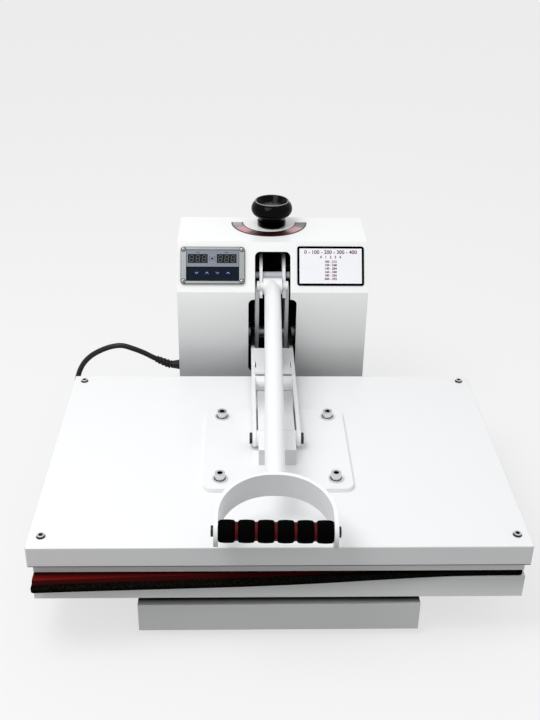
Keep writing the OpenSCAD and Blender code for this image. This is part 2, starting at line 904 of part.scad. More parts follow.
module arm_web() {
    notch_w = 2 * tube_gap_x + 2;
    side_l = 22;
    side_w = 5;
    color("#d7dadc") place() translate([0, web_front, pivot_z + arm_h / 2]) linear_extrude(web_t)
        difference() {
            translate([-web_w / 2, 0]) square([web_w, web_l]);
            translate([-notch_w / 2, -1]) square([notch_w, web_notch + 1]);
            for (x = [-1, 1])
                translate([x * (web_w - side_w) / 2 - side_w / 2, 14]) square([side_w, side_l]);
        }
}

module cross_tubes() {
    l = arm_x - tube_gap_x;
    color("#dfe1e3") place() translate([0, toggle_y, pivot_z]) both_sides()
        translate([tube_gap_x + l / 2, 0, 0]) bar_x(cross_tube_d, l);
}

module pivot_bolt() {
    color("#57595c") place() translate([0, 0, pivot_z]) {
        bar_x(pivot_d, 2 * arm_out);
        both_sides() translate([arm_out, 0, 0]) rotate([0, 90, 0])
            cylinder(d = bolt_head_af / cos(30), h = bolt_head_h, $fn = 6);
    }
}

// Head

module heat_plate() {
    color("#8f9194") place() translate([-platen_w / 2, -platen_d / 2, plate_z])
        cube([platen_w, platen_d, heat_plate_t]);
}

module head_cover() {
    color("#f6f7f8") place() translate([0, 0, cover_z]) difference() {
        intersection() {
            linear_extrude(cover_h) rounded(cover_w, cover_d, cover_r);
            along_x(cover_w + 2) rounded(cover_d, 2 * cover_h, cover_edge_r);
            translate([0, -cover_d / 2 - 1, 0]) to_back(cover_d + 2)
                rounded(cover_w, 2 * cover_h, cover_edge_r);
        }
        translate([0, 0, -1]) linear_extrude(cover_h - cover_t + 1)
            rounded(cover_w - 2 * cover_t, cover_d - 2 * cover_t, cover_r - cover_t);
        at_mount_screws() cylinder(d = mount_screw_d + 2 * hole_gap, h = cover_h + 1);
        at_cover_screws() cylinder(d = cover_screw_d, h = cover_h + 1);
    }
}

module insulation() {
    margin = 20;
    color("#d8cfae") place() translate([0, 0, cover_z]) difference() {
        linear_extrude(cover_h - cover_t) rounded(platen_w - 2 * margin, platen_d - 2 * margin, 6);
        translate([0, 0, -1]) at_mount_screws() cylinder(d = mount_screw_d + 2 * hole_gap, h = cover_h + 2);
    }
}

module cover_standoffs() {
    color("#9a9da0") place() translate([0, 0, cover_z]) at_cover_screws() difference() {
        cylinder(d = standoff_d, h = cover_h - cover_t);
        translate([0, 0, cover_h - cover_t - cover_screw_l - 2]) cylinder(d = cover_screw_d, h = cover_screw_l + 3);
    }
}

module cover_screws() {
    color("#44464a") place() translate([0, 0, cover_top]) at_cover_screws() {
        translate([0, 0, -cover_screw_l]) cylinder(d = cover_screw_d, h = cover_screw_l);
        difference() {
            cylinder(d1 = cover_head_d, d2 = cover_head_d - 3, h = cover_head_h);
            translate([0, 0, cover_head_h - 2]) cylinder(d = 5, h = 3, $fn = 6);
        }
    }
}

module mount_plate() {
    color("#f3f4f5") place() translate([0, 0, cover_top]) linear_extrude(mount_t) difference() {
        rounded(mount_w, mount_d, mount_r);
        at_mount_screws() circle(d = mount_screw_d + 2 * hole_gap);
    }
}

module mount_screws() {
    head_z = mount_top + washer_t;
    socket_h = 5;
    color("#9b9ea1") place() at_mount_screws() {
        translate([0, 0, cover_z]) cylinder(d = mount_screw_d, h = head_z - cover_z);
        translate([0, 0, head_z]) difference() {
            cylinder(d = mount_head_d, h = mount_head_h);
            translate([0, 0, mount_head_h - socket_h]) cylinder(d = mount_socket_d, h = socket_h + 1, $fn = 6);
        }
    }
}

module mount_washers() {
    color("#6a6d70") place() translate([0, 0, mount_top]) linear_extrude(washer_t) at_mount_screws()
        difference() {
            circle(d = washer_d);
            circle(d = mount_screw_d);
        }
}

module pivot_block() {
    boss_l = arm_x - slide_gap;
    color("#c9cccf") place() difference() {
        union() {
            translate([-block_w / 2, -block_front, mount_top])
                cube([block_w, block_front + block_rear, block_h]);
            translate([0, 0, pivot_z]) bar_x(boss_d, 2 * boss_l);
        }
        translate([0, 0, pivot_z]) bar_x(pivot_d + 2 * run_gap, 2 * arm_out);
    }
}

// Lever, drawn level and turned about its pivot

module lever_sleeve() {
    color("#eef0f1") place() on_lever() difference() {
        bar_x(sleeve_d, sleeve_w);
        bar_x(lever_pin_d + 2 * run_gap, sleeve_w + 2);
    }
}

module lever_tube() {
    color("#f4f5f6") place() difference() {
        on_tube() rotate([90, 0, 0]) cylinder(d = tube_d, h = bow_reach);
        on_tube() rotate([90, 0, 0]) cylinder(d = tube_d - 2 * tube_t, h = bow_reach + 1);
        on_lever() bar_x(sleeve_d, sleeve_w + 2);
    }
}

// Lug under the tube: a tapered root that ends round the knee pin
module lever_lug() {
    root = 22;
    root_z = -tube_d / 4;
    first = 200;
    sweep = 140;
    steps = 20;
    outline = concat(
        [[knee[0] + root, root_z], [knee[0] - root, root_z]],
        [for (i = [0 : steps]) let (a = first + sweep * i / steps) knee + knee_r * [cos(a), sin(a)]]
    );
    color("#e3e5e7") place() difference() {
        on_lever() along_x(lug_t) polygon(outline);
        on_lever() translate([0, knee[0], knee[1]]) bar_x(knee_d, lug_t + 2);
        on_tube() rotate([90, 0, 0]) cylinder(d = tube_d, h = bow_reach);
    }
}

// Flat bar bent to a U, with round ends on the grip's axis
module handle_bow() {
    color("#eff1f2") place() on_tube() translate([0, -grip_s, 0]) difference() {
        union() {
            translate([0, 0, -bow_bar / 2]) linear_extrude(bow_bar) difference() {
                rounded(bow_w, 2 * bow_depth, bow_r);
                rounded(bow_w - 2 * bow_t, 2 * (bow_depth - bow_t), bow_r - bow_t);
                translate([-bow_w, -2 * bow_depth]) square(2 * [bow_w, bow_depth]);
            }
            both_sides() translate([bow_w / 2 - bow_t, 0, 0])
                rotate([0, 90, 0]) cylinder(d = bow_bar, h = bow_t);
        }
        bar_x(grip_bolt_d, bow_w + 2);
    }
}

module grip_bolt() {
    color("#3c3e41") place() on_tube() translate([0, -grip_s, 0]) {
        bar_x(grip_bolt_d, bow_w);
        both_sides() translate([bow_w / 2 + grip_head_h / 2, 0, 0]) bar_x(grip_head_d, grip_head_h);
    }
}

module grip_core() {
    color("#a3161a") place() on_tube() translate([0, -grip_s, 0]) difference() {
        bar_x(core_d, grip_l);
        bar_x(grip_bolt_d, grip_l + 2);
    }
}

module grip_rings() {
    edge = 1.5;
    color("#121213") place() on_tube()
        for (i = [0 : grip_count - 1])
            translate([i * (ring_w + groove_w) - grip_l / 2, -grip_s, 0]) rotate([0, 90, 0]) difference() {
                union() {
                    cylinder(d1 = grip_d - 2 * edge, d2 = grip_d, h = edge);
                    translate([0, 0, edge]) cylinder(d = grip_d, h = ring_w - 2 * edge);
                    translate([0, 0, ring_w - edge]) cylinder(d1 = grip_d, d2 = grip_d - 2 * edge, h = edge);
                }
                translate([0, 0, -1]) cylinder(d = core_d, h = ring_w + 2);
            }
}

// Toggle link from the knee to the foot on the arm

module toggle_link() {
    eye_r = 10;
    color("#d0d3d5") place() both_sides() translate([link_x + link_t / 2, toggle_y, pivot_z])
        rotate([toggle_a, 0, 0]) along_x(link_t) difference() {
            link_outline([0, 0], [link_l, 0], eye_r);
            for (y = [0, link_l])
                translate([y, 0]) circle(d = knee_d + 2 * run_gap);
        }
}

module link_pin() {
    color("#a9acaf") place() on_lever() translate([0, knee[0], knee[1]])
        bar_x(knee_d, 2 * (link_x + link_t) + 1);
}

rubber_feet();
base_rails();
base_crossbars();
bed_posts();
bed_plate();
bed_skirt();
foam_pad();
silicone_pad();
uprights();
thrust_plate();
hinge_shaft();
hinge_collars();
tower_front();
control_panel();
tower_top();
side_panels();
rear_cover();
controller_case();
controller_bezel();
controller_face();
display_windows();
label_plate();
scale_plate();
cord_gland();
cord_lead();
cord_coil();
cord_tie();
cord_plug();
yoke_plates();
crossbar();
nut_block();
lever_pin();
pressure_knob();
pressure_screw();
arm_plates();
arm_web();
cross_tubes();
pivot_bolt();
heat_plate();
head_cover();
insulation();
cover_standoffs();
cover_screws();
mount_plate();
mount_screws();
mount_washers();
pivot_block();
lever_sleeve();
lever_tube();
lever_lug();
handle_bow();
grip_bolt();
grip_core();
grip_rings();
toggle_link();
link_pin();
temp_down_key();
temp_up_key();
time_down_key();
time_up_key();
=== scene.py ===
"""Looks of a manual heat press: its paint, metals, pads, grip, mains lead and panel fittings."""
import logging
import math
from dataclasses import dataclass
from enum import Enum
from typing import Any, Callable, Sequence

import bpy
import numpy as np
from mathutils import Matrix, Vector


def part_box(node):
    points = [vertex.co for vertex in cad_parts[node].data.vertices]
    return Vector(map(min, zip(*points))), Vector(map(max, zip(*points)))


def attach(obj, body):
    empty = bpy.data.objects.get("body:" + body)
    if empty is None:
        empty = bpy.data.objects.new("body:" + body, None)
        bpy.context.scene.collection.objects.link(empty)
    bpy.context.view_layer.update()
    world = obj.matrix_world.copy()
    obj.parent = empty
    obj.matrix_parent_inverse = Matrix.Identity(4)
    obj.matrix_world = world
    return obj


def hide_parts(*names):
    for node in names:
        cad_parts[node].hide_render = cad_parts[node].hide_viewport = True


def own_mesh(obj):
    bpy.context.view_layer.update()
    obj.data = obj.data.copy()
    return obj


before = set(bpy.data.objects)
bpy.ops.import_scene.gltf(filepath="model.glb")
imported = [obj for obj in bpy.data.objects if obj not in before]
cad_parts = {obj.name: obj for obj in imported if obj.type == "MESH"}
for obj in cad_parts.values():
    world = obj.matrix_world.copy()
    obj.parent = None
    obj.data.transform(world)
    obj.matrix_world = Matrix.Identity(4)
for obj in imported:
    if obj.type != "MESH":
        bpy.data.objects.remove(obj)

LOG = logging.getLogger("heat_press")
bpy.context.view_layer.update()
PLATE_LOW, PLATE_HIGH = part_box("heat_plate")
PLATE_MID_Y = (PLATE_LOW.y + PLATE_HIGH.y) / 2
ROOT = "press_frame"
KEYS = ("temp_down_key", "temp_up_key", "time_down_key", "time_up_key")
BOTH_WAYS = (-1.0, 1.0)

ENAMEL = "f4f5f6"
# paler copy of the white enamel for the tower's sheets: painted light
HOUSING_ENAMEL = "fafbfb"
# grey copy of the white enamel, laid as painted shade
SHADED_ENAMEL = "c6c9c9"
# near black laid as painted shadow where parts run up into the dark of the tower
SHADOW_BLACK = "0c0c0d"

Colour = tuple[float, float, float]
Shell = tuple[np.ndarray, Sequence[Sequence[int]]]
Place = Callable[[Any, Any, Any], np.ndarray]
Material = bpy.types.Material
Socket = bpy.types.NodeSocket


class Axis(Enum):
    """Direction in which a metal was brushed, as the stretch of its grain along X, Y and Z."""

    ALONG_X = (8.0, 900.0, 900.0)
    ALONG_Z = (900.0, 900.0, 8.0)


class Way(Enum):
    """Axis along which painted light or shade takes over, as the name of a position's part."""

    Y = "Y"
    Z = "Z"


def tone(code: str) -> Colour:
    """Turns a written colour into the linear values that shaders use.

    Args:
        code: six hexadecimal digits, as red, green and blue.

    Returns:
        The three linear values.
    """
    parts = np.array([int(code[i:i + 2], 16) for i in (0, 2, 4)]) / 255.0
    linear = np.where(parts <= 0.04045, parts / 12.92, ((parts + 0.055) / 1.055) ** 2.4)
    return tuple(float(v) for v in linear)


def scaled(colour: Colour, factor: float, lift: float = 0.0) -> Colour:
    """Scales a linear colour and lifts it, up to 1."""
    return tuple(min(1.0, factor * v + lift) for v in colour)


def press(x: float, y: float, z: float) -> np.ndarray:
    """Gives a point counted from the platen's middle in the part's own frame, in metres."""
    return np.array((x, y + PLATE_MID_Y, z))


def middle(first: str, last: str | None = None) -> Vector:
    """Gives the middle between a node's lowest corner and its own, or another node's, highest one."""
    return (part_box(first)[0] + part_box(last or first)[1]) / 2


class NodeGraph:
    """A node tree with one short call that makes, sets and links a node."""

    def __init__(self, tree: bpy.types.NodeTree) -> None:
        """Keeps the tree that the calls add to."""
        self.tree = tree

    def add(self, kind: str, inputs: dict[Any, Any] | None = None, **settings: Any) -> bpy.types.Node:
        """Makes a node.

        Args:
            kind: the node's type, without the Shader prefix.
            inputs: value or socket for each named or numbered input.
            settings: the node's own properties.

        Returns:
            The new node.
        """
        node = self.tree.nodes.new("ShaderNode" + kind)
        for name, value in settings.items():
            setattr(node, name, value)
        for name, value in (inputs or {}).items():
            self.feed(node.inputs[name], value)
        return node

    def feed(self, socket: Socket, value: Any) -> None:
        """Links a socket to another one, or sets its value.

        Args:
            socket: the input.
            value: another socket, or a number, vector or colour.
        """
        if isinstance(value, bpy.types.NodeSocket):
            self.tree.links.new(value, socket)
        elif isinstance(value, tuple) and len(value) == 3 and socket.type == "RGBA":
            socket.default_value = (*value, 1.0)
        else:
            socket.default_value = value

    def math(self, operation: str, a: Any, b: Any = 0.0) -> Socket:
        """Makes a Math node and gives its result."""
        return self.add("Math", {0: a, 1: b}, operation=operation).outputs[0]

    def vector(self, operation: str, a: Any, b: Any = (0.0, 0.0, 0.0)) -> Socket:
        """Makes a Vector Math node and gives its result, a number for a length or a dot product."""
        result = "Value" if operation in ("LENGTH", "DOT_PRODUCT") else "Vector"
        return self.add("VectorMath", {0: a, 1: b}, operation=operation).outputs[result]

    def axes(self, vector: Socket) -> bpy.types.NodeOutputs:
        """Splits a vector into its X, Y and Z."""
        return self.add("SeparateXYZ", {0: vector}).outputs

    def noise(self, vector: Socket, scale: Any, detail: float, roughness: float = 0.5) -> Socket:
        """Makes a noise with a scale per metre and gives its value."""
        inputs = {"Vector": vector, "Scale": scale, "Detail": detail, "Roughness": roughness}
        return self.add("TexNoise", inputs).outputs[0]

    def mix(self, share: Any, a: Any, b: Any) -> Socket:
        """Mixes two colours.

        Args:
            share: share of the second colour, from 0 to 1.
            a: the first colour.
            b: the second colour.

        Returns:
            The mixed colour.
        """
        node = self.add("Mix", data_type="RGBA")
        for index, value in ((0, share), (6, a), (7, b)):
            self.feed(node.inputs[index], value)
        return node.outputs[2]

    def span(self, value: Any, to_low: float, to_high: float, low: float = 0.0, high: float = 1.0) -> Socket:
        """Maps a value to a range from another one, held at the ends."""
        inputs = {"Value": value, "From Min": low, "From Max": high, "To Min": to_low, "To Max": to_high}
        return self.add("MapRange", inputs).outputs["Result"]


class Effect(NodeGraph):
    """A shader node group that several finishes place, with named inputs and outputs."""

    made: dict[str, bpy.types.NodeTree] = {}

    def __init__(self, name: str, inputs: dict[str, str], outputs: Sequence[str]) -> None:
        """Makes the group's tree and its sockets.

        Args:
            name: the group's name.
            inputs: socket type, Vector or Float, for each input's name.
            outputs: names of the Float outputs.
        """
        super().__init__(bpy.data.node_groups.new(name, "ShaderNodeTree"))
        for label, kind in inputs.items():
            self.tree.interface.new_socket(label, in_out="INPUT", socket_type="NodeSocket" + kind)
        for label in outputs:
            self.tree.interface.new_socket(label, in_out="OUTPUT", socket_type="NodeSocketFloat")
        self.source = self.tree.nodes.new("NodeGroupInput").outputs
        self.sink = self.tree.nodes.new("NodeGroupOutput").inputs
        Effect.made[name] = self.tree

    def give(self, **results: Socket) -> None:
        """Links each result to the output of its name."""
        for label, result in results.items():
            self.feed(self.sink[label], result)

    @classmethod
    def build_all(cls) -> None:
        """Makes each shared effect once."""
        cls.peel()
        cls.brushed()
        cls.grit()
        cls.border()

    @classmethod
    def peel(cls) -> None:
        """Orange peel: fine bumps of sprayed paint, and broad clouds that vary its gloss."""
        group = cls("orange_peel", {"Vector": "Vector", "Scale": "Float"}, ("Height", "Cloud"))
        place = group.source["Vector"]
        bumps = group.noise(place, group.source["Scale"], detail=2.0, roughness=0.4)
        group.give(Height=bumps, Cloud=group.noise(place, scale=9.0, detail=4.0, roughness=0.6))

    @classmethod
    def brushed(cls) -> None:
        """Brush marks: noise drawn out along the stretch that has the smallest value."""
        group = cls("brushed_lines", {"Vector": "Vector", "Stretch": "Vector"}, ("Lines", "Scuffs"))
        place = group.source["Vector"]
        drawn = group.vector("MULTIPLY", place, group.source["Stretch"])
        lines = group.noise(drawn, scale=1.0, detail=5.0, roughness=0.65)
        group.give(Lines=lines, Scuffs=group.noise(place, scale=60.0, detail=6.0, roughness=0.7))

    @classmethod
    def grit(cls) -> None:
        """Open cells: Voronoi pits with half as much of a noise three times finer over them."""
        group = cls("open_cells", {"Vector": "Vector", "Scale": "Float"}, ("Height", "Pits"))
        place, scale = group.source["Vector"], group.source["Scale"]
        pits = group.add("TexVoronoi", {"Vector": place, "Scale": scale}).outputs["Distance"]
        grain = group.noise(place, group.math("MULTIPLY", scale, 3.1), detail=3.0)
        height = group.math("ADD", pits, group.math("MULTIPLY", grain, 0.5))
        group.give(Height=height, Pits=group.span(pits, 0.0, 1.0, low=0.3, high=0.8))

    @classmethod
    def border(cls) -> None:
        """Band in a rounded rectangle: 1 where the distance to its edge is under the width."""
        sockets = {"Vector": "Vector", "Half": "Vector", "Corner": "Float", "Width": "Float"}
        group = cls("edge_band", sockets, ("Band",))
        place, half, corner, width = (group.source[label] for label in sockets)
        reach = group.vector("SUBTRACT", group.vector("ABSOLUTE", place), half)
        past = group.vector("MAXIMUM", group.vector("ADD", reach, corner))
        inside = group.math("SUBTRACT", corner, group.vector("LENGTH", past))
        group.give(Band=group.math("LESS_THAN", inside, width))


class Shader(NodeGraph):
    """A material with a Principled shader, read in Object coordinates."""

    def __init__(self, name: str) -> None:
        """Makes the material and its coordinates.

        Args:
            name: the material's name.
        """
        self.material = bpy.data.materials.new(name)
        self.material.use_nodes = True
        super().__init__(self.material.node_tree)
        self.surface = self.tree.nodes["Principled BSDF"]
        self.position = self.add("TexCoord").outputs["Object"]

    def set(self, **values: Any) -> "Shader":
        """Sets or links the shader's sockets, with underscores for the spaces in their names.

        Args:
            values: number, colour or socket for each socket's name.

        Returns:
            The shader itself.
        """
        for name, value in values.items():
            self.feed(self.surface.inputs[name.replace("_", " ")], value)
        return self

    def effect(self, name: str, **inputs: Any) -> bpy.types.NodeOutputs:
        """Places a shared effect at the material's position.

        Args:
            name: the effect's name.
            inputs: value or socket for each of its inputs.

        Returns:
            The effect's outputs.
        """
        node = self.add("Group", node_tree=Effect.made[name])
        for label, value in {"Vector": self.position, **inputs}.items():
            self.feed(node.inputs[label], value)
        return node.outputs

    def rough(self, noise: Socket, low: float, high: float, spread: float = 0.2) -> None:
        """Varies the roughness from low to high with a noise that lies within a spread of one half."""
        self.set(Roughness=self.span(noise, low, high, 0.5 - spread, 0.5 + spread))

    def relief(self, height: Socket, depth: float, edge: float = 0.0) -> None:
        """Bumps the surface, over edges that catch the light as if rounded.

        Args:
            height: value from 0 to 1.
            depth: height of the bumps, in metres.
            edge: radius of the rounded edges, in metres, or 0 for none.
        """
        bump = self.add("Bump", {"Strength": 1.0, "Distance": depth, "Height": height})
        if edge:
            rounded = self.add("Bevel", {"Radius": edge}, samples=4)
            self.feed(bump.inputs["Normal"], rounded.outputs[0])
        self.set(Normal=bump.outputs[0])

    def along(self, axis: str) -> Socket:
        """Gives the position along an axis, X, Y or Z."""
        return self.axes(self.position)[axis]

    def offset(self, origin: Sequence[float]) -> Socket:
        """Gives the position counted from an origin."""
        return self.vector("SUBTRACT", self.position, tuple(origin))

    def radius(self, offset: Socket) -> Socket:
        """Gives an offset's distance from the upright axis."""
        return self.vector("LENGTH", self.vector("MULTIPLY", offset, (1.0, 1.0, 0.0)))

    def normal(self) -> Socket:
        """Gives the direction in which a face looks."""
        return self.add("NewGeometry").outputs["True Normal"]

    def upward(self) -> Socket:
        """Gives how far a face looks up, from -1 to 1."""
        return self.axes(self.normal())["Z"]

    def band(self, local: Socket, half: tuple[float, float], corner: float, width: float) -> Socket:
        """Marks the edge of a rounded rectangle that stands upright in its own position.

        Args:
            local: position counted from its middle, X across and Z up.
            half: half its width and half its height.
            corner: radius of its corners.
            width: width of the marked edge.

        Returns:
            1 on the edge, and 0 inside it.
        """
        size = (half[0], 1.0, half[1])
        return self.effect("edge_band", Vector=local, Half=size, Corner=corner, Width=width)["Band"]

    def tint(self, share: Socket, code: str) -> None:
        """Lays a colour over the base colour by a share from 0 to 1."""
        under = self.surface.inputs["Base Color"].links[0].from_socket
        self.set(Base_Color=self.mix(share, under, tone(code)))


@dataclass(frozen=True)
class PaintedShading:
    """A second colour that takes over along an axis: painted light or painted shade.

    Fields: the colour, the axis, the place where it starts, where it is full and where it is gone
    again, if anywhere, and the range of upward looks, from -1 to 1, of the faces that it covers.
    """

    colour: str
    axis: Way
    start: float
    full: float
    gone: float | None = None
    looks: tuple[float, float] = (-1.1, 1.1)

    def lay(self, shader: Shader) -> None:
        """Lays the painted light or shade on a material.

        Args:
            shader: the material's shader.
        """
        place = shader.along(self.axis.value)
        share = shader.span(place, 0.0, 1.0, self.start, self.full)
        if self.gone is not None:
            share = shader.math("MULTIPLY", share, shader.span(place, 1.0, 0.0, self.full, self.gone))
        for limit, test in zip(self.looks, ("GREATER_THAN", "LESS_THAN")):
            share = shader.math("MULTIPLY", share, shader.math(test, shader.upward(), limit))
        shader.tint(share, self.colour)


class Finish:
    """A finish that one shader gives, with painted light or shade that may lie over it; its material is made
    once.
    """

    name: str
    painted_shading: tuple[PaintedShading, ...] = ()
    made: dict[str, Material] = {}

    def shader(self) -> Shader:
        """Builds the material, without its painted light and shade, and gives its shader."""
        raise NotImplementedError

    def with_painted_shading(self) -> Shader:
        """Builds the material and lays its painted light and shade.

        Returns:
            The material's shader.
        """
        shader = self.shader()
        for stain in self.painted_shading:
            stain.lay(shader)
        return shader

    def material(self) -> Material:
        """Makes the finished material at its first use.

        Returns:
            The material.
        """
        if self.name not in Finish.made:
            Finish.made[self.name] = self.with_painted_shading().material
        return Finish.made[self.name]


@dataclass(frozen=True)
class Paint(Finish):
    """Stove enamel on sheet steel.

    Fields: name, colour as written, gloss as roughness and how far it varies, painted light and
    shade laid over it, depth in metres and scale of its orange peel, radius of its edges, weight and
    roughness of its clear coat, and how much of its colour the duller clouds keep.
    """

    name: str
    colour: str
    roughness: float = 0.3
    painted_shading: tuple[PaintedShading, ...] = ()
    varies: float = 0.03
    depth: float = 0.00002
    scale: float = 420.0
    edge: float = 0.0007
    coat: float = 0.25
    coat_roughness: float = 0.12
    clouds: float = 0.985

    def shader(self) -> Shader:
        """Builds the enamel: clouds vary its colour and gloss, and orange peel its height.

        Returns:
            The material's shader, without the painted light and shade.
        """
        shader = Shader(self.name)
        peel = shader.effect("orange_peel", Scale=self.scale)
        base = tone(self.colour)
        shader.set(Base_Color=shader.mix(peel["Cloud"], base, scaled(base, self.clouds)))
        shader.set(Coat_Weight=self.coat, Coat_Roughness=self.coat_roughness, IOR=1.5)
        shader.rough(peel["Cloud"], self.roughness - self.varies, self.roughness + self.varies, spread=0.3)
        shader.relief(peel["Height"], self.depth, self.edge)
        return shader


@dataclass(frozen=True)
class Housing(Paint):
    """Enamel on the tower's sheets, with painted shade on the inside: near black faces without reflections.

    Fields: the paint's own, then the colour of the painted shade on the inside.
    """

    inside: str = "08080a"

    def with_painted_shading(self) -> Shader:
        """Builds the paint with its painted light and shade, and painted shade where a face looks towards
        the middle of the tower.

        Returns:
            The material's shader.
        """
        shader = super().with_painted_shading()
        offset = shader.offset(middle("tower_front", "rear_cover"))
        # painted shade: faces that look into the tower turn near black metal without coat, so they reflect
        # almost nothing
        inner = shader.math("LESS_THAN", shader.vector("DOT_PRODUCT", shader.normal(), offset), 0.0)
        shader.tint(inner, self.inside)
        return shader.set(Metallic=inner, Coat_Weight=shader.span(inner, self.coat, 0.0))


@dataclass(frozen=True)
class Metal(Finish):
    """Bare or plated metal with brush marks and scuffs.

    Fields: name, colour, roughness, direction of the brush marks, painted light and shade laid over
    it, depth of the marks in metres, radius of the edges, how much of the colour the dark marks keep,
    and how far the scuffs lower and raise the roughness.
    """

    name: str
    colour: str
    roughness: float = 0.32
    grain: Axis = Axis.ALONG_X
    painted_shading: tuple[PaintedShading, ...] = ()
    depth: float = 0.00001
    edge: float = 0.0004
    marks: float = 0.8
    varies: tuple[float, float] = (0.08, 0.1)

    def shader(self) -> Shader:
        """Builds the metal: brush marks vary its colour and height, and scuffs its gloss.

        Returns:
            The material's shader, without the painted light and shade.
        """
        shader = Shader(self.name)
        marks = shader.effect("brushed_lines", Stretch=self.grain.value)
        base = tone(self.colour)
        shader.set(Base_Color=shader.mix(marks["Lines"], scaled(base, self.marks), base), Metallic=1.0)
        shader.rough(marks["Scuffs"], self.roughness - self.varies[0], self.roughness + self.varies[1])
        shader.relief(marks["Lines"], self.depth, self.edge)
        return shader


@dataclass(frozen=True)
class CoatedPlate(Metal):
    """Heat plate: pale alloy at its edges, with a dark release coat below.

    Fields: the metal's own, then the coat's colour and the share of metal in the edges' shine.
    """

    coat: str = "3b3c3e"
    shine: float = 0.06

    def shader(self) -> Shader:
        """Builds the metal, with the coat on faces that look down.

        Returns:
            The material's shader, without the painted light and shade.
        """
        shader = super().shader()
        shader.tint(shader.math("LESS_THAN", shader.upward(), -0.5), self.coat)
        return shader.set(Metallic=self.shine)


@dataclass(frozen=True)
class RingedMetal(Metal):
    """Plated screws or washers at the corners of a rectangle, dark within a radius of each axis.

    Fields: the metal's own, then the node, the radius of one screw or washer, the radius of its dark
    middle, the radius from which it is dark again, and the dark colour.
    """

    node: str = ""
    outer: float = 0.01
    inner: float = 0.004
    rim: float = 1.0
    shade: str = "0a0a0b"

    def shader(self) -> Shader:
        """Builds the metal with its dark middles.

        Returns:
            The material's shader, without the painted light and shade.
        """
        shader = super().shader()
        low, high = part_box(self.node)
        corner = (high - low) / 2 - Vector((self.outer, self.outer, 0.0))
        beside = shader.vector("ABSOLUTE", shader.offset(middle(self.node)))
        radius = shader.radius(shader.vector("SUBTRACT", beside, tuple(corner)))
        dark = shader.math("MAXIMUM", shader.math("LESS_THAN", radius, self.inner),
                           shader.math("GREATER_THAN", radius, self.rim))
        shader.tint(dark, self.shade)
        return shader.set(Metallic=shader.span(dark, 1.0, 0.0))


@dataclass(frozen=True)
class Moulding(Finish):
    """Moulded plastic or rubber, with a fine eroded grain.

    Fields: name, colour, roughness, size of the grain as a scale per metre, its depth in metres,
    weight and roughness of the coat, the shine, radius of the edges, how much brighter the worn
    clouds are and how far they are lifted, and how far they lower and raise the roughness.
    """

    name: str
    colour: str
    roughness: float = 0.5
    scale: float = 900.0
    depth: float = 0.00002
    coat: float = 0.0
    coat_roughness: float = 0.06
    specular: float = 0.5
    edge: float = 0.0005
    paler: tuple[float, float] = (1.35, 0.004)
    varies: tuple[float, float] = (0.06, 0.08)

    def shader(self) -> Shader:
        """Builds the moulding: worn clouds vary its colour and gloss, and grain its height.

        Returns:
            The material's shader.
        """
        shader = Shader(self.name)
        grain = shader.effect("orange_peel", Scale=self.scale)
        base = tone(self.colour)
        shader.set(Base_Color=shader.mix(grain["Cloud"], base, scaled(base, *self.paler)))
        shader.set(Coat_Weight=self.coat, Coat_Roughness=self.coat_roughness)
        shader.set(Specular_IOR_Level=self.specular)
        shader.rough(grain["Cloud"], self.roughness - self.varies[0], self.roughness + self.varies[1])
        shader.relief(grain["Height"], self.depth, self.edge)
        return shader


@dataclass(frozen=True)
class HighlightedKnob(Moulding):
    """Gloss black knob with a painted highlight along its lip and painted shade on its neck.

    Fields: the moulding's own, then the lip's radius, half its width and its depth, the colour of
    its painted highlight, and the height of the neck that has painted shade.
    """

    lip: float = 0.0262
    lip_half: float = 0.0009
    lip_depth: float = 0.002
    lip_highlight: str = "8d9093"
    neck: float = 0.015

    def shader(self) -> Shader:
        """Builds the moulding with its painted highlight on the lip and painted shade on the neck.

        Returns:
            The material's shader.
        """
        shader = super().shader()
        low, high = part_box("pressure_knob")
        radius = shader.radius(shader.offset(middle("pressure_knob")))
        beside = shader.math("ABSOLUTE", shader.math("SUBTRACT", radius, self.lip))
        # painted highlight: a pale ring along the lip
        paler = shader.math("MULTIPLY", shader.math("LESS_THAN", beside, self.lip_half),
                           shader.math("GREATER_THAN", shader.along("Z"), high.z - self.lip_depth))
        shader.tint(paler, self.lip_highlight)
        # painted shade: below the neck's height the knob turns black metal that reflects nothing
        return shader.set(Metallic=shader.math("LESS_THAN", shader.along("Z"), low.z + self.neck))


@dataclass(frozen=True)
class Foam(Finish):
    """Sponge, foam rubber or wool with open cells.

    Fields: name, colours of the cells and of their walls, cells per metre, depth of the cells in
    metres, roughness and shine.
    """

    name: str
    colour: str
    walls: str
    cells: float = 700.0
    depth: float = 0.0003
    roughness: float = 0.9
    specular: float = 0.02

    def shader(self) -> Shader:
        """Builds the foam: open cells vary its colour and height.

        Returns:
            The material's shader.
        """
        shader = Shader(self.name)
        cells = shader.effect("open_cells", Scale=self.cells)
        shader.set(Base_Color=shader.mix(cells["Pits"], tone(self.colour), tone(self.walls)))
        shader.set(Roughness=self.roughness, Specular_IOR_Level=self.specular)
        shader.relief(cells["Height"], self.depth)
        return shader


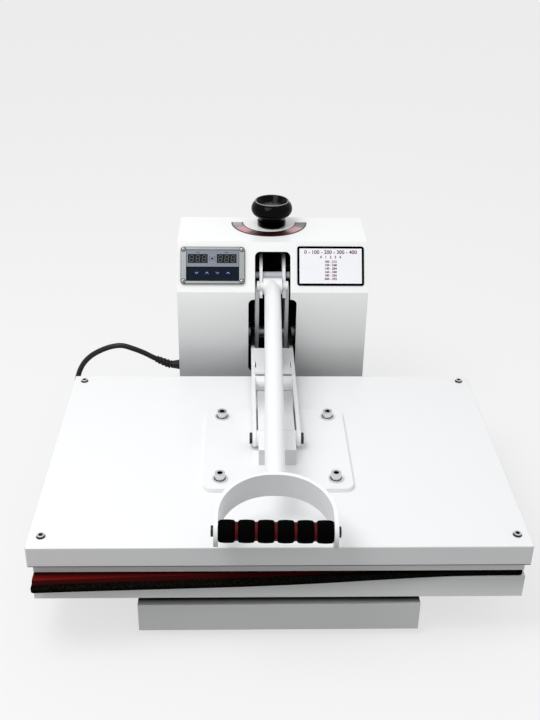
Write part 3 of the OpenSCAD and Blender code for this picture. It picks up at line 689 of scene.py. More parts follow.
@dataclass(frozen=True)
class Silicone(Finish):
    """Red silicone sheet with a fine fabric print and a dusty bloom.

    Fields: name, colour, painted light and shade laid over it, spacing and depth of the print in
    metres, length of a wave texture of scale 1, scale of the bloom, how much brighter it is and how
    far it is lifted, range of the roughness, and shine.
    """

    name: str
    colour: str
    painted_shading: tuple[PaintedShading, ...] = ()
    pitch: float = 0.0011
    depth: float = 0.00006
    wave_length: float = 0.314
    scale: float = 240.0
    bloom: tuple[float, float] = (1.2, 0.004)
    roughness: tuple[float, float] = (0.42, 0.58)
    specular: float = 0.03

    def shader(self) -> Shader:
        """Builds the sheet: a bloom varies its colour and gloss, and crossed waves its height.

        Returns:
            The material's shader, without the painted light and shade.
        """
        shader = Shader(self.name)
        peel = shader.effect("orange_peel", Scale=self.scale)
        wave = {"Vector": shader.position, "Scale": self.wave_length / self.pitch}
        across, along = (shader.add("TexWave", wave, bands_direction=way).outputs["Fac"] for way in "XY")
        base = tone(self.colour)
        shader.set(Base_Color=shader.mix(peel["Cloud"], base, scaled(base, *self.bloom)))
        shader.set(Specular_IOR_Level=self.specular)
        shader.rough(peel["Cloud"], *self.roughness)
        shader.relief(shader.math("MULTIPLY", across, along), self.depth)
        return shader


WHITE = Paint("white_enamel", ENAMEL)
DARK = Metal("dark_steel", "3c3e40", 0.42)
ZINC = Metal("zinc_plate", "cfd1d3", 0.2)
DULL_ZINC = Metal("dull_zinc_plate", "a6a9ac", 0.28)
BEZEL_ALLOY = Metal("bezel_alloy", "9ca0a1", 0.45)
RUBBER = Moulding("black_rubber", "0d0d0e", 0.55, depth=0.00003, specular=0.3)
JACKET = Moulding("lead_jacket", "0a0a0b", 0.42, scale=500.0, specular=0.35)
KNOB_CAP = Moulding("knob_cap", "2c2e31", 0.3)
SEGMENT = Moulding("dim_segment", "62666a", 0.6, specular=0.1)
NUMBER_INK = Moulding("number_ink", "6a1440", 0.6, specular=0.05)
ARROW_INK = Moulding("arrow_ink", "a9c6ff", 0.4)
MARK_INK = Moulding("mark_ink", "0c0e12", 0.5, specular=0.1)
SPONGE = Foam("black_sponge", "020202", "171510", 430.0, 0.0006)
GRIP_FOAM = Foam("grip_foam", "000000", "080808", 1500.0, 0.00012)
SILICONE = Silicone("red_silicone", "6a0c05", (
    # painted shadow: a near black band under the head's front edge, fading out on either side
    PaintedShading("070000", Way.Y, PLATE_LOW.y - 0.0125, PLATE_LOW.y, PLATE_LOW.y + 0.01),
    # painted shade: darker red on the forward-looking faces of the front cut
    PaintedShading("300000", Way.Y, PLATE_LOW.y, PLATE_LOW.y - 0.001, looks=(-1.1, 0.95)),
))

Dressing = tuple[Finish, tuple[str, ...]]


@dataclass(frozen=True)
class Face:
    """A flat face of the part.

    Fields: a point on it and its directions across and up; outwards is their cross product.
    """

    origin: Sequence[float]
    across: tuple[float, float, float]
    up: tuple[float, float, float]

    def point(self, a: Any, b: Any, c: Any) -> np.ndarray:
        """Places points.

        Args:
            a: distance across, in metres, as a number or array.
            b: distance up.
            c: distance outwards.

        Returns:
            Array of points in the part's frame.
        """
        steps = np.stack(np.broadcast_arrays(*(np.asarray(v, float) for v in (a, b, c))), axis=-1)
        ways = np.array((self.across, self.up, np.cross(self.across, self.up)))
        return steps @ ways + np.asarray(self.origin, float)

    def moved(self, a: float, b: float, c: float = 0.0) -> "Face":
        """Gives the face with its origin moved across, up and outwards."""
        return Face(tuple(self.point(a, b, c)), self.across, self.up)


@dataclass(frozen=True)
class Panel:
    """The slanted control panel between its two bends.

    Fields: set-back and rise of the slope, in metres.
    """

    back: float = 0.044
    rise: float = 0.067

    @property
    def lean(self) -> float:
        """Angle of the slope from upright, in radians."""
        return math.atan2(self.back, self.rise)

    def face(self, x: float, up: float, out: float = 0.0) -> Face:
        """Gives the panel's face.

        Args:
            x: distance across, in metres.
            up: distance up the slope.
            out: distance outwards.

        Returns:
            The face, with its origin moved there.
        """
        low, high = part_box("tower_front")
        slope = Face((0.0, low.y, high.z), (1.0, 0.0, 0.0), (0.0, math.sin(self.lean), math.cos(self.lean)))
        return slope.moved(x, up, out)

    def local(self, shader: Shader, x: float, up: float) -> Socket:
        """Gives a material's position counted from a place on the panel, X across and Z up the slope."""
        turn = {"Vector": shader.offset(self.face(x, up).origin), "Rotation": (self.lean, 0.0, 0.0)}
        return shader.add("VectorRotate", turn, rotation_type="EULER_XYZ").outputs[0]


def quarter_turn(count: int) -> np.ndarray:
    """Gives evenly spaced angles from 0 to a quarter turn."""
    return np.linspace(0.0, math.pi / 2, count)


def full_turn(count: int) -> np.ndarray:
    """Gives evenly spaced angles round a full turn, without its end."""
    return np.linspace(0.0, 2.0 * math.pi, count, endpoint=False)


def loop_faces(loops: int, count: int) -> np.ndarray:
    """Joins each loop of points to the next one with quads.

    Args:
        loops: number of loops.
        count: points in each loop.

    Returns:
        Array of four indices for each quad.
    """
    start = np.arange(loops - 1)[:, None] * count
    a, b = start + np.arange(count), start + (np.arange(count) + 1) % count
    return np.stack((a, b, b + count, a + count), axis=-1).reshape(-1, 4)


def closed_faces(loops: int, count: int) -> list[list[int]]:
    """Joins loops as above, and closes the first and the last with a flat face each.

    Args:
        loops: number of loops.
        count: points in each loop.

    Returns:
        Lists of indices, the quads first.
    """
    last = (loops - 1) * count
    ends = [list(range(count - 1, -1, -1)), list(range(last, last + count))]
    return loop_faces(loops, count).tolist() + ends


def put(name: str, data: bpy.types.ID) -> bpy.types.Object:
    """Makes an object of its data and puts it into the scene.

    Args:
        name: the object's name.
        data: its mesh, curve, camera or light.

    Returns:
        The new object.
    """
    made = bpy.data.objects.new(name, data)
    bpy.context.scene.collection.objects.link(made)
    return made


def dress(material: Material, *nodes: str) -> None:
    """Gives a material to nodes that keep their solids.

    Args:
        material: the finish's material.
        nodes: names of the nodes.
    """
    for node in nodes:
        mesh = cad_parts[node].data
        mesh.materials.clear()
        mesh.materials.append(material)
    LOG.info("dressed %s with %s", ", ".join(nodes), material.name)


def add_piece(name: str, shell: Shell, finish: Finish, body: str,
              smooth: bool = True) -> bpy.types.Object:
    """Makes a mesh in the part's frame that rides on a body.

    Args:
        name: the piece's name.
        shell: its points, in metres, and the indices of each face, outwards.
        finish: its finish.
        body: the body that carries it.
        smooth: True to shade it as a smooth surface.

    Returns:
        The new object.
    """
    points, faces = shell
    mesh = bpy.data.meshes.new(name)
    mesh.from_pydata(points.reshape(-1, 3).tolist(), [], [list(map(int, face)) for face in faces])
    mesh.validate()
    mesh.polygons.foreach_set("use_smooth", np.full(len(mesh.polygons), smooth))
    mesh.materials.append(finish.material())
    piece = put(name, mesh)
    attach(piece, body)
    LOG.info("made %s on %s: %d faces", name, body, len(mesh.polygons))
    return piece


def join_parts(parts: Sequence[Shell]) -> Shell:
    """Puts separate shells with faces of one kind into one shell.

    Args:
        parts: the shells, all of quads or all of triangles.

    Returns:
        Points and faces of them all.
    """
    counts = np.cumsum([0] + [len(points) for points, _ in parts])
    faces = [shell_faces + start for (_, shell_faces), start in zip(parts, counts)]
    return np.concatenate([points for points, _ in parts]), np.concatenate(faces)


def revolved(profile: np.ndarray, sides: int, place: Place) -> Shell:
    """Turns a profile about its axis: each point runs round at its radius, at its height.

    Args:
        profile: rows of radius and height, from the bottom to the top.
        sides: points in a turn.
        place: function from across, up and along-axis values to points.

    Returns:
        Points and quads, which narrow to nothing where the profile meets the axis.
    """
    radius, height = profile[:, :1], profile[:, 1:]
    turn = full_turn(sides)
    x, y = radius * np.cos(turn), radius * np.sin(turn)
    return place(x, y, np.broadcast_to(height, x.shape)).reshape(-1, 3), loop_faces(*x.shape)


def slab(half: tuple[float, float], thick: float, place: Place, centre: tuple[float, float] = (0.0, 0.0),
         turn: float = 0.0, base: float = 0.0) -> Shell:
    """Gives a small block on a face: loops at its foot, under its bevel, over it and at its middle.

    Args:
        half: half its width and half its height.
        thick: how far it stands out.
        place: function from across, up and outwards values to points.
        centre: its middle on the face.
        turn: its turn on the face, in radians.
        base: height of its foot over the face.

    Returns:
        Points and quads.
    """
    bevel = min(half) / 4
    inset = np.array((0.0, 0.0, bevel, min(half)))[:, None]
    level = np.array((0.0, thick - bevel / 2, thick, thick))[:, None] + base
    x = np.array((-1, 1, 1, -1)) * (half[0] - inset)
    y = np.array((-1, -1, 1, 1)) * (half[1] - inset)
    cos, sin = math.cos(turn), math.sin(turn)
    across, up = centre[0] + x * cos - y * sin, centre[1] + x * sin + y * cos
    return place(across, up, np.broadcast_to(level, x.shape)).reshape(-1, 3), loop_faces(*x.shape)


def smooth_path(points: np.ndarray, first: np.ndarray, last: np.ndarray, steps: int) -> np.ndarray:
    """Runs a cubic curve through points: each stretch is a Hermite curve between central differences.

    Args:
        points: rows of points.
        first: direction at the first point.
        last: direction at the last point.
        steps: points made for each stretch.

    Returns:
        Rows of points, the last one included.
    """
    slopes = np.gradient(points, axis=0)
    slopes[0] = first * np.linalg.norm(points[1] - points[0])
    slopes[-1] = last * np.linalg.norm(points[-1] - points[-2])
    t = np.linspace(0.0, 1.0, steps, endpoint=False)[None, :, None]
    a, b = points[:-1, None], points[1:, None]
    da, db = slopes[:-1, None], slopes[1:, None]
    curve = ((2 * t**3 - 3 * t**2 + 1) * a + (t**3 - 2 * t**2 + t) * da
             + (3 * t**2 - 2 * t**3) * b + (t**3 - t**2) * db)
    return np.concatenate((curve.reshape(-1, 3), points[-1:]))


def tube(path: np.ndarray, radius: float | np.ndarray, sides: int,
         beside: tuple[float, float, float] = (0.0, 1.0, 0.35)) -> Shell:
    """Carries a circle along a path: its two axes are square to the path and to each other.

    Args:
        path: rows of points.
        radius: the tube's radius, one for all or one for each point.
        sides: points round it.
        beside: a direction that the path never takes.

    Returns:
        Points and faces, with its two ends closed.
    """
    ahead = np.gradient(path, axis=0)
    ahead /= np.linalg.norm(ahead, axis=1, keepdims=True)
    side = np.cross(ahead, np.array(beside))
    side /= np.linalg.norm(side, axis=1, keepdims=True)
    over = np.cross(ahead, side)
    turn = full_turn(sides)[None, :, None]
    reach = np.broadcast_to(radius, len(path))[:, None, None]
    points = path[:, None] + reach * (np.cos(turn) * side[:, None] + np.sin(turn) * over[:, None])
    return points.reshape(-1, 3), closed_faces(len(path), sides)


@dataclass
class Studio:
    """Camera at the photograph's view, pale floor and soft light from above.

    Fields: the camera's place over the bench counted from the platen's middle, its angles in
    radians, its focal length in pixels of the frame's long side, its sensor and its farthest view,
    the floor's tones and reach, the level of the light tent, and the place, aim, power and side of
    the soft box over the head.
    """

    eye: tuple[float, float, float] = (-0.04669, -1.12095, 0.90895)
    yaw: float = 0.0321
    pitch: float = 0.5041
    roll: float = 0.0167
    focal_px: float = 977.55
    long_side_px: float = 720.0
    sensor_mm: float = 36.0
    farthest: float = 100.0
    floor_tone: float = 0.26
    floor_glow: float = 0.665
    floor_bounce: float = 0.12
    floor_reach: float = 30.0
    tent_level: float = 0.66
    key_place: tuple[float, float, float] = (-0.62, -0.40, 1.80)
    key_aim: tuple[float, float, float] = (0.02, 0.12, 0.2)
    key_watts: float = 16.0
    key_side: float = 0.9

    def build_camera(self) -> None:
        """Sets the camera: forward from yaw and pitch, then its right and up turned by the roll."""
        level = math.cos(self.pitch)
        forward = Vector((math.sin(self.yaw) * level, math.cos(self.yaw) * level, -math.sin(self.pitch)))
        right = Vector((math.cos(self.yaw), -math.sin(self.yaw), 0.0))
        up = right.cross(forward)
        across = math.cos(self.roll) * right + math.sin(self.roll) * up
        above = math.cos(self.roll) * up - math.sin(self.roll) * right
        data = bpy.data.cameras.new("camera")
        data.sensor_width = self.sensor_mm
        data.lens = self.focal_px / self.long_side_px * self.sensor_mm
        data.clip_end = self.farthest
        camera = put("camera", data)
        facing = Matrix((across, above, -forward)).transposed()
        camera.matrix_world = Matrix.Translation(press(*self.eye)) @ facing.to_4x4()
        bpy.context.scene.camera = camera

    @staticmethod
    def seen(graph: NodeGraph) -> Socket:
        """Tells what is seen from light that is thrown back.

        Args:
            graph: node tree of a material or of the world.

        Returns:
            1 to the camera and in reflections, and else 0.
        """
        path = graph.add("LightPath").outputs
        mirrored = graph.math("MAXIMUM", path["Is Glossy Ray"], path["Is Transmission Ray"])
        return graph.math("MAXIMUM", path["Is Camera Ray"], mirrored)

    def build_floor(self) -> None:
        """Lays the floor: pale where it is seen, and darker to the light that it throws back."""
        corners = np.array(((-1.0, -1.0, 0.0), (1.0, -1.0, 0.0), (1.0, 1.0, 0.0), (-1.0, 1.0, 0.0)))
        mesh = bpy.data.meshes.new("floor")
        mesh.from_pydata((self.floor_reach * corners).tolist(), [], [[0, 1, 2, 3]])
        material = bpy.data.materials.new("floor")
        material.use_nodes = True
        graph = NodeGraph(material.node_tree)
        graph.tree.nodes.clear()
        seen = self.seen(graph)
        level = graph.span(seen, self.floor_bounce, self.floor_tone)
        grey = graph.add("CombineColor", {0: level, 1: level, 2: level})
        shade = graph.add("BsdfDiffuse", {"Color": grey.outputs[0]})
        glow = graph.add("Emission", {"Strength": graph.math("MULTIPLY", seen, self.floor_glow)})
        both = graph.add("AddShader", {0: shade.outputs[0], 1: glow.outputs[0]})
        graph.feed(graph.add("OutputMaterial").inputs["Surface"], both.outputs[0])
        mesh.materials.append(material)
        put("floor", mesh)

    def build_light(self) -> None:
        """Lights the scene: an even tent of light all round, as pale as the far floor, and a soft box."""
        world = bpy.data.worlds.new("light_tent")
        bpy.context.scene.world = world
        world.use_nodes = True
        graph = NodeGraph(world.node_tree)
        background = graph.tree.nodes["Background"].inputs
        background["Color"].default_value = (1.0, 1.0, 1.0, 1.0)
        pale = self.floor_tone * self.tent_level + self.floor_glow
        graph.feed(background["Strength"], graph.span(self.seen(graph), self.tent_level, pale))
        lamp = bpy.data.lights.new("soft_box", "AREA")
        lamp.energy, lamp.size = self.key_watts, self.key_side
        place = Vector(press(*self.key_place))
        facing = (place - Vector(press(*self.key_aim))).to_track_quat("Z", "Y")
        put("soft_box", lamp).matrix_world = Matrix.Translation(place) @ facing.to_matrix().to_4x4()

    def build(self) -> None:
        """Makes the whole studio."""
        bpy.context.scene.view_settings.view_transform = "Standard"
        self.build_camera()
        self.build_floor()
        self.build_light()


@dataclass
class MainsLead:
    """Mains lead from the gland to its coil and plug.

    Fields: diameter, route from the gland to the coil counted from the platen's middle, its
    directions at both ends and the points made for each of its stretches, the coil's middle, outer
    radius, pitch, turns in a layer, first height, rise, inner dip and points in a turn, the straight
    run to the plug, and the points round the lead.
    """

    diameter: float = 0.009
    route: tuple[tuple[float, float, float], ...] = (
        (-0.169, 0.340, 0.094), (-0.183, 0.340, 0.100), (-0.198, 0.340, 0.1075), (-0.214, 0.341, 0.116),
        (-0.232, 0.341, 0.124), (-0.250, 0.342, 0.129), (-0.268, 0.342, 0.127), (-0.286, 0.342, 0.120),
        (-0.302, 0.343, 0.110), (-0.315, 0.344, 0.097), (-0.324, 0.345, 0.082), (-0.330, 0.346, 0.065),
        (-0.334, 0.344, 0.047), (-0.337, 0.337, 0.030), (-0.339, 0.325, 0.016), (-0.339, 0.310, 0.008),
        (-0.339, 0.294, 0.0052),
    )
    leaves: tuple[float, float, float] = (-0.94, 0.0, 0.34)
    lands: tuple[float, float, float] = (0.0, -1.0, 0.0)
    steps: int = 8
    middle: tuple[float, float] = (-0.283, 0.285)
    outer: float = 0.056
    pitch: float = 0.010
    turns: float = 2.0
    first_z: float = 0.0052
    rise: float = 0.0096
    dip: float = 0.004
    points_per_turn: int = 48
    plug_start: float = 0.033
    sides: int = 12

    def coil(self) -> np.ndarray:
        """Winds the coil: in on the lower layer, up in a half turn at the middle, and out above.

        Returns:
            Rows of points counted from the platen's middle.
        """
        half_turn = self.points_per_turn // 2
        t = np.arange(round(4 * self.turns + 1) * half_turn + 1) / self.points_per_turn
        climb = np.clip(2.0 * (t - self.turns), 0.0, 1.0)
        inner = self.outer - self.pitch * self.turns
        outwards = inner + self.pitch * np.maximum(t - self.turns - 0.5, 0.0)
        radius = np.where(t < self.turns, self.outer - self.pitch * t,
                          outwards - self.dip * np.sin(math.pi * climb))
        angle = math.pi + 2.0 * math.pi * t
        height = self.first_z + self.rise * climb**2 * (3.0 - 2.0 * climb)
        x, y = self.middle
        return np.stack((x + radius * np.cos(angle), y + radius * np.sin(angle), height), axis=1)

    def path(self) -> np.ndarray:
        """Joins the run, the coil and the straight end into one centre line.

        Returns:
            Rows of points in the part's frame.
        """
        run = smooth_path(np.array(self.route), np.array(self.leaves), np.array(self.lands), self.steps)
        coil = self.coil()
        straight = np.linspace(0.0, self.plug_start, self.steps)[1:, None]
        tail = coil[-1] - np.array(self.lands) * straight
        return np.concatenate((run, coil, tail)) + press(0.0, 0.0, 0.0)

    def build(self) -> bpy.types.Object:
        """Returns:
            The new object.
        """
        path = self.path()
        jacket = tube(path, self.diameter / 2, self.sides)
        lead = add_piece("mains_lead", jacket, JACKET, ROOT)
        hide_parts("cord_lead", "cord_coil")
        return lead


@dataclass
class Pads:
    """The loose silicone and sponge pads on the bed.

    Fields: half the width, back edge and front edge of the sponge at its right, counted from the
    platen's middle, how far it swings out to the left, the height and shift of the wave along that
    edge, how far the silicone stays behind the sponge at its left and how much more at its right,
    the slant of its front cut, the radius of the corners, the roundness of the cut edges, the
    share of their height that is left under the head at its full tilt, which is not used, and the
    points of a corner, of the front edge and of a cut edge.
    """

    half_width: float = 0.300
    back: float = 0.200
    front: float = -0.199
    swing: float = 0.028
    wave: float = 0.0025
    wave_shift: float = 1.7
    silicone_step: float = 0.007
    silicone_turn: float = 0.005
    silicone_slant: float = 0.005
    corner: float = 0.004
    edge: float = 0.0012
    squeezed: float = 0.58
    arc_points: int = 8
    front_points: int = 40
    edge_points: int = 7

    def front_edge(self, x: np.ndarray) -> np.ndarray:
        """Gives the sponge's front edge: a slanted line with one long wave.

        Args:
            x: places across the bed.

        Returns:
            The edge's places along the bed.
        """
        share = np.clip((x / self.half_width + 1.0) / 2.0, 0.0, 1.0)
        wave = self.wave * np.sin(2.0 * math.pi * share**self.wave_shift)
        return self.front - self.swing * (1.0 - share) - wave

    def outline(self, step: float, turn: float, inset: float) -> np.ndarray:
        """Gives a pad's outline, anticlockwise from its left front corner.

        Args:
            step: how far the front edge stays behind the sponge's at the left.
            turn: how much more it stays behind at the right.
            inset: how far the outline is drawn in.

        Returns:
            Rows of places across and along the bed.
        """
        x, r = self.half_width - self.corner, self.corner
        front = np.linspace(-x, x, self.front_points)
        edge = self.front_edge(front) + step + turn * (front / x + 1.0) / 2.0
        run = np.column_stack((front, edge + inset))
        back = self.back - r
        centres = np.array(((-x, edge[0] + r), (x, edge[-1] + r), (x, back), (-x, back)))
        starts = np.radians((180.0, 270.0, 0.0, 90.0))
        angle = starts[:, None] + quarter_turn(self.arc_points)
        arcs = centres[:, None] + np.stack((np.cos(angle), np.sin(angle)), axis=-1) * (r - inset)
        return np.concatenate((arcs[0], run[1:-1], *arcs[1:]))

    def build_pad(self, name: str, node: str, finish: Finish, step: float = 0.0,
                  turn: float = 0.0, slant: float = 0.0) -> bpy.types.Object:
        """Makes a pad: its outline rises through a rounded edge, and flat faces close it.

        Args:
            name: the pad's name.
            node: the node that it replaces.
            finish: its finish.
            step: how far its front edge stays behind the sponge's at the left.
            turn: how much more it stays behind at the right.
            slant: how far the front cut leans back from its foot to its top.

        Returns:
            The new object.
        """
        low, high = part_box(node)
        bend = np.linspace(-math.pi / 2, math.pi / 2, self.edge_points)
        edge = min(self.edge, (high.z - low.z) / 2)
        levels = np.where(bend < 0, low.z + edge, high.z - edge) + edge * np.sin(bend)
        lean = slant * (levels - low.z) / (high.z - low.z)
        insets = edge * (1.0 - np.cos(bend))
        flat = np.stack([self.outline(step + back, turn, inset) for back, inset in zip(lean, insets)])
        heights = np.broadcast_to(levels[:, None, None], (*flat.shape[:2], 1))
        points = np.concatenate((flat + (0.0, PLATE_MID_Y), heights), axis=2)
        pad = add_piece(name, (points, closed_faces(*flat.shape[:2])), finish, ROOT, smooth=False)
        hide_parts(node)
        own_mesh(pad)
        return pad

    def build(self) -> None:
        """Makes both pads."""
        self.build_pad("silicone_sheet", "silicone_pad", SILICONE, self.silicone_step,
                       self.silicone_turn, self.silicone_slant)
        self.build_pad("sponge_sheet", "foam_pad", SPONGE)


@dataclass
class HandleGrip:
    """Foam rings on the handle's grip.

    Fields: slope and sideways lean of the lever, distances from its pivot to the bow and to the
    grip, length of the grip, count of the rings, groove between them, their diameter, bore, edge
    radius and bulge, and the points round them, of an edge and across a face.
    """

    tilt: float = math.radians(9.0)
    yaw: float = math.radians(0.9)
    bow_reach: float = 0.430
    reach: float = 0.509
    length: float = 0.133
    count: int = 6
    groove: float = 0.003
    diameter: float = 0.027
    bore: float = 0.022
    edge: float = 0.003
    bulge: float = 0.0004
    sides: int = 48
    edge_points: int = 6
    face_points: int = 7

    def place(self, across: Any, up: Any, along: Any) -> np.ndarray:
        """Places points of the grip, turned by the lever's lean and then by its slope.

        Args:
            across: distance to the front.
            up: distance up.
            along: distance to the right, along the grip's axis.

        Returns:
            Array of points in the part's frame.
        """
        x, y = along, -self.reach - across
        cos, sin = math.cos(self.yaw), math.sin(self.yaw)
        x, y = x * cos + y * sin, y * cos - x * sin
        cos, sin = math.cos(self.tilt), math.sin(self.tilt)
        turned = np.stack((x, y * cos - up * sin, y * sin + up * cos), axis=-1)
        return turned + np.array(middle("lever_sleeve"))

    def ring_profile(self, width: float) -> np.ndarray:
        """Gives one ring's closed section: a bore, two rounded edges and a slightly swollen face.

        Args:
            width: the ring's width.

        Returns:
            Rows of radius and place along the axis.
        """
        bend = quarter_turn(self.edge_points)
        outer, bore = self.diameter / 2 - self.bulge, self.bore / 2
        r, w = outer - self.edge, width - self.edge
        left = np.column_stack((r + self.edge * np.sin(bend), self.edge * (1 - np.cos(bend))))
        right = np.column_stack((r + self.edge * np.cos(bend), w + self.edge * np.sin(bend)))
        across = np.linspace(0.0, 1.0, self.face_points)[1:-1]
        swollen = outer + self.bulge * np.sin(math.pi * across)
        face = np.column_stack((swollen, self.edge + across * (w - self.edge)))
        return np.concatenate(([(bore, 0.0)], left, face, right, [(bore, width), (bore, 0.0)]))

    def build(self) -> bpy.types.Object:
        """Makes the row of rings in place of the plain ones.

        Returns:
            The new object.
        """
        width = (self.length - (self.count - 1) * self.groove) / self.count
        profile = self.ring_profile(width)
        starts = np.arange(self.count) * (width + self.groove) - self.length / 2
        rings = [revolved(profile + (0.0, start), self.sides, self.place) for start in starts]
        grip = add_piece("grip_foam", join_parts(rings), GRIP_FOAM, "lever")
        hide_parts("grip_rings")
        return grip


@dataclass
class SheetScrews:
    """Pan-head screws with crossed slots on flat sheets.

    Fields: radius and height of a head and the share of the height at its rim, radius in head radii
    and height of the seat round it, and for its slots their turn, half length and half width in head
    radii, depth and foot in head heights, and the points round a head and of its dome.
    """

    radius: float = 0.0032
    height: float = 0.0016
    rim: float = 0.3
    seat: float = 1.25
    seat_height: float = 0.0002
    turn: float = 0.4
    slot_half: tuple[float, float] = (0.62, 0.1)
    slot_depth: float = 0.22
    slot_foot: float = 0.82
    sides: int = 20
    dome_points: int = 7

    def build(self, name: str, places: Sequence[Face], plate: Finish) -> None:
        """Makes a group of screws on the frame, with dark slots, painted shade in place of their depth, and
        dark seats round the heads, painted shadow under them.

        Args:
            name: the group's name.
            places: the face that each screw sits on, with its origin under the screw.
            plate: finish of the heads.
        """
        bend, r, tall = quarter_turn(self.dome_points), self.radius, self.height
        dome = np.column_stack((r * np.cos(bend), tall * (self.rim + (1.0 - self.rim) * np.sin(bend))))
        head = np.concatenate(([(r, 0.0)], dome))
        # seat: a thin dark disc under each head, painted shadow
        seat = np.array(((self.seat * r, 0.0), (self.seat * r, self.seat_height), (0.0, self.seat_height)))
        half = (self.slot_half[0] * r, self.slot_half[1] * r)
        heads, dark = [], []
        for spot in places:
            heads.append(revolved(head, self.sides, spot.point))
            dark.append(revolved(seat, self.sides, spot.point))
            # slots: flat dark slabs on the dome, painted shade standing in for the slots' depth
            dark += [slab(half, self.slot_depth * tall, spot.point, turn=turn, base=self.slot_foot * tall)
                     for turn in (self.turn, self.turn + math.pi / 2)]
        add_piece(name, join_parts(heads), plate, ROOT)
        add_piece(name + "_slot_and_seat_shade", join_parts(dark), DARK, ROOT, smooth=False)


@dataclass
class Hardware:
    """Small hardware of the housing, base, knob, handle and lead.

    Fields: inset of the sheet screws from the edges, height and width of a base rail, thickness of
    its end plug and how far the plug stays inside it, height of the dish in the knob, radius and
    height along its cap's section and the points round it, radius of the lever's tube and of its
    weld, depth as a share and count of the weld's ripples, points along and round the weld, length
    of the lead's boot, its radius, its taper, count, depth and sharpness of its ribs, and the points
    of a rib and round the boot.
    """

    inset: float = 0.012
    rail: tuple[float, float] = (0.042, 0.040)
    plug: float = 0.003
    plug_inset: float = 0.0005
    dish: float = 0.031
    cap_section: tuple[tuple[float, float], ...] = (
        (0.0172, 0.0), (0.0172, 0.0008), (0.0166, 0.0014), (0.01032, 0.0019), (0.0, 0.0021),
    )
    cap_sides: int = 48
    tube_radius: float = 0.0127
    weld_radius: float = 0.0015
    weld_ripple: float = 0.12
    weld_ripples: int = 26
    weld_points: int = 65
    weld_sides: int = 10
    boot_length: float = 0.026
    boot_radius: float = 0.0068
    boot_taper: float = 0.0012
    boot_ribs: int = 4
    rib_depth: float = 0.0005
    rib_sharpness: float = 4.0
    rib_points: int = 12
    boot_sides: int = 20

    def build_screws(self) -> None:
        """Puts screws along the rear cover's upright edges and the side panels' lower edges."""
        low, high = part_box("rear_cover")
        rear = Face((0.0, high.y, low.z), (0.0, 0.0, 1.0), (1.0, 0.0, 0.0))
        rise, aside = high.z - low.z, high.x - self.inset
        heights = (self.inset, rise / 2, rise - self.inset)
        places = [rear.moved(z, side * aside) for side in BOTH_WAYS for z in heights]
        low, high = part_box("side_panels")
        left = Face((low.x, low.y, low.z), (0.0, 0.0, 1.0), (0.0, 1.0, 0.0))
        right = Face((high.x, low.y, low.z), (0.0, 1.0, 0.0), (0.0, 0.0, 1.0))
        for y in (2 * self.inset, high.y - low.y - self.inset):
            places += [left.moved(self.inset, y), right.moved(y, self.inset)]
        SheetScrews(radius=0.004, height=0.002).build("tower_screws", places, ZINC)

    def build_plugs(self) -> None:
        """Closes the rear ends of the base rails with flat plugs."""
        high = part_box("base_rails")[1]
        ends = Face((0.0, high.y, middle("base_rails").z), (0.0, 0.0, 1.0), (1.0, 0.0, 0.0))
        half = tuple(side / 2 - self.plug_inset for side in self.rail)
        rail_x = high.x - self.rail[1] / 2
        plugs = [slab(half, self.plug, ends.point, (0.0, side * rail_x)) for side in BOTH_WAYS]
        add_piece("rail_plugs", join_parts(plugs), RUBBER, ROOT, smooth=False)

    def build_cap(self) -> None:
        """Sets a domed cap in the knob's dish: a short wall, a rounded rim and a low dome."""
        centre = middle("pressure_knob")
        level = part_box("pressure_knob")[0].z + self.dish
        dish = Face((centre.x, centre.y, level), (1.0, 0.0, 0.0), (0.0, 1.0, 0.0))
        cap = revolved(np.array(self.cap_section), self.cap_sides, dish.point)
        add_piece("knob_cap", cap, KNOB_CAP, "knob")

    def build_weld(self, grip: HandleGrip) -> None:
        """Lays a painted weld round the lever's tube where it meets the bow, with a fine ripple.

        Args:
            grip: the grip, which gives the lever's slope and lean.
        """
        turn = np.linspace(0.0, 2.0 * math.pi, self.weld_points)
        radius = self.weld_radius * (1.0 + self.weld_ripple * np.sin(self.weld_ripples * turn))
        up, along = self.tube_radius * np.cos(turn), self.tube_radius * np.sin(turn)
        path = grip.place(np.full(self.weld_points, grip.bow_reach - grip.reach), up, along)
        add_piece("bow_weld", tube(path, radius, self.weld_sides), WHITE, "lever")

    def build_boot(self, lead: MainsLead) -> None:
        """Slips a ribbed boot over the lead where it leaves the gland: a tapered tube with a wave.

        Args:
            lead: the lead that it fits.
        """
        path = lead.path()
        along = np.concatenate(([0.0], np.cumsum(np.linalg.norm(np.diff(path, axis=0), axis=1))))
        share = np.linspace(0.0, 1.0, self.rib_points * self.boot_ribs + 1)
        points = np.stack([np.interp(share * self.boot_length, along, axis) for axis in path.T], axis=1)
        wave = np.cos(2.0 * math.pi * self.boot_ribs * share)
        ribs = self.rib_depth * np.tanh(self.rib_sharpness * wave)
        radius = self.boot_radius - self.boot_taper * share + ribs
        add_piece("lead_boot", tube(points, radius, self.boot_sides), RUBBER, ROOT)

    def build(self, lead: MainsLead, grip: HandleGrip) -> None:
        """Makes all the small hardware.

        Args:
            lead: the mains lead.
            grip: the handle's grip.
        """
        self.build_screws()
        self.build_plugs()
        self.build_cap()
        self.build_weld(grip)
        self.build_boot(lead)


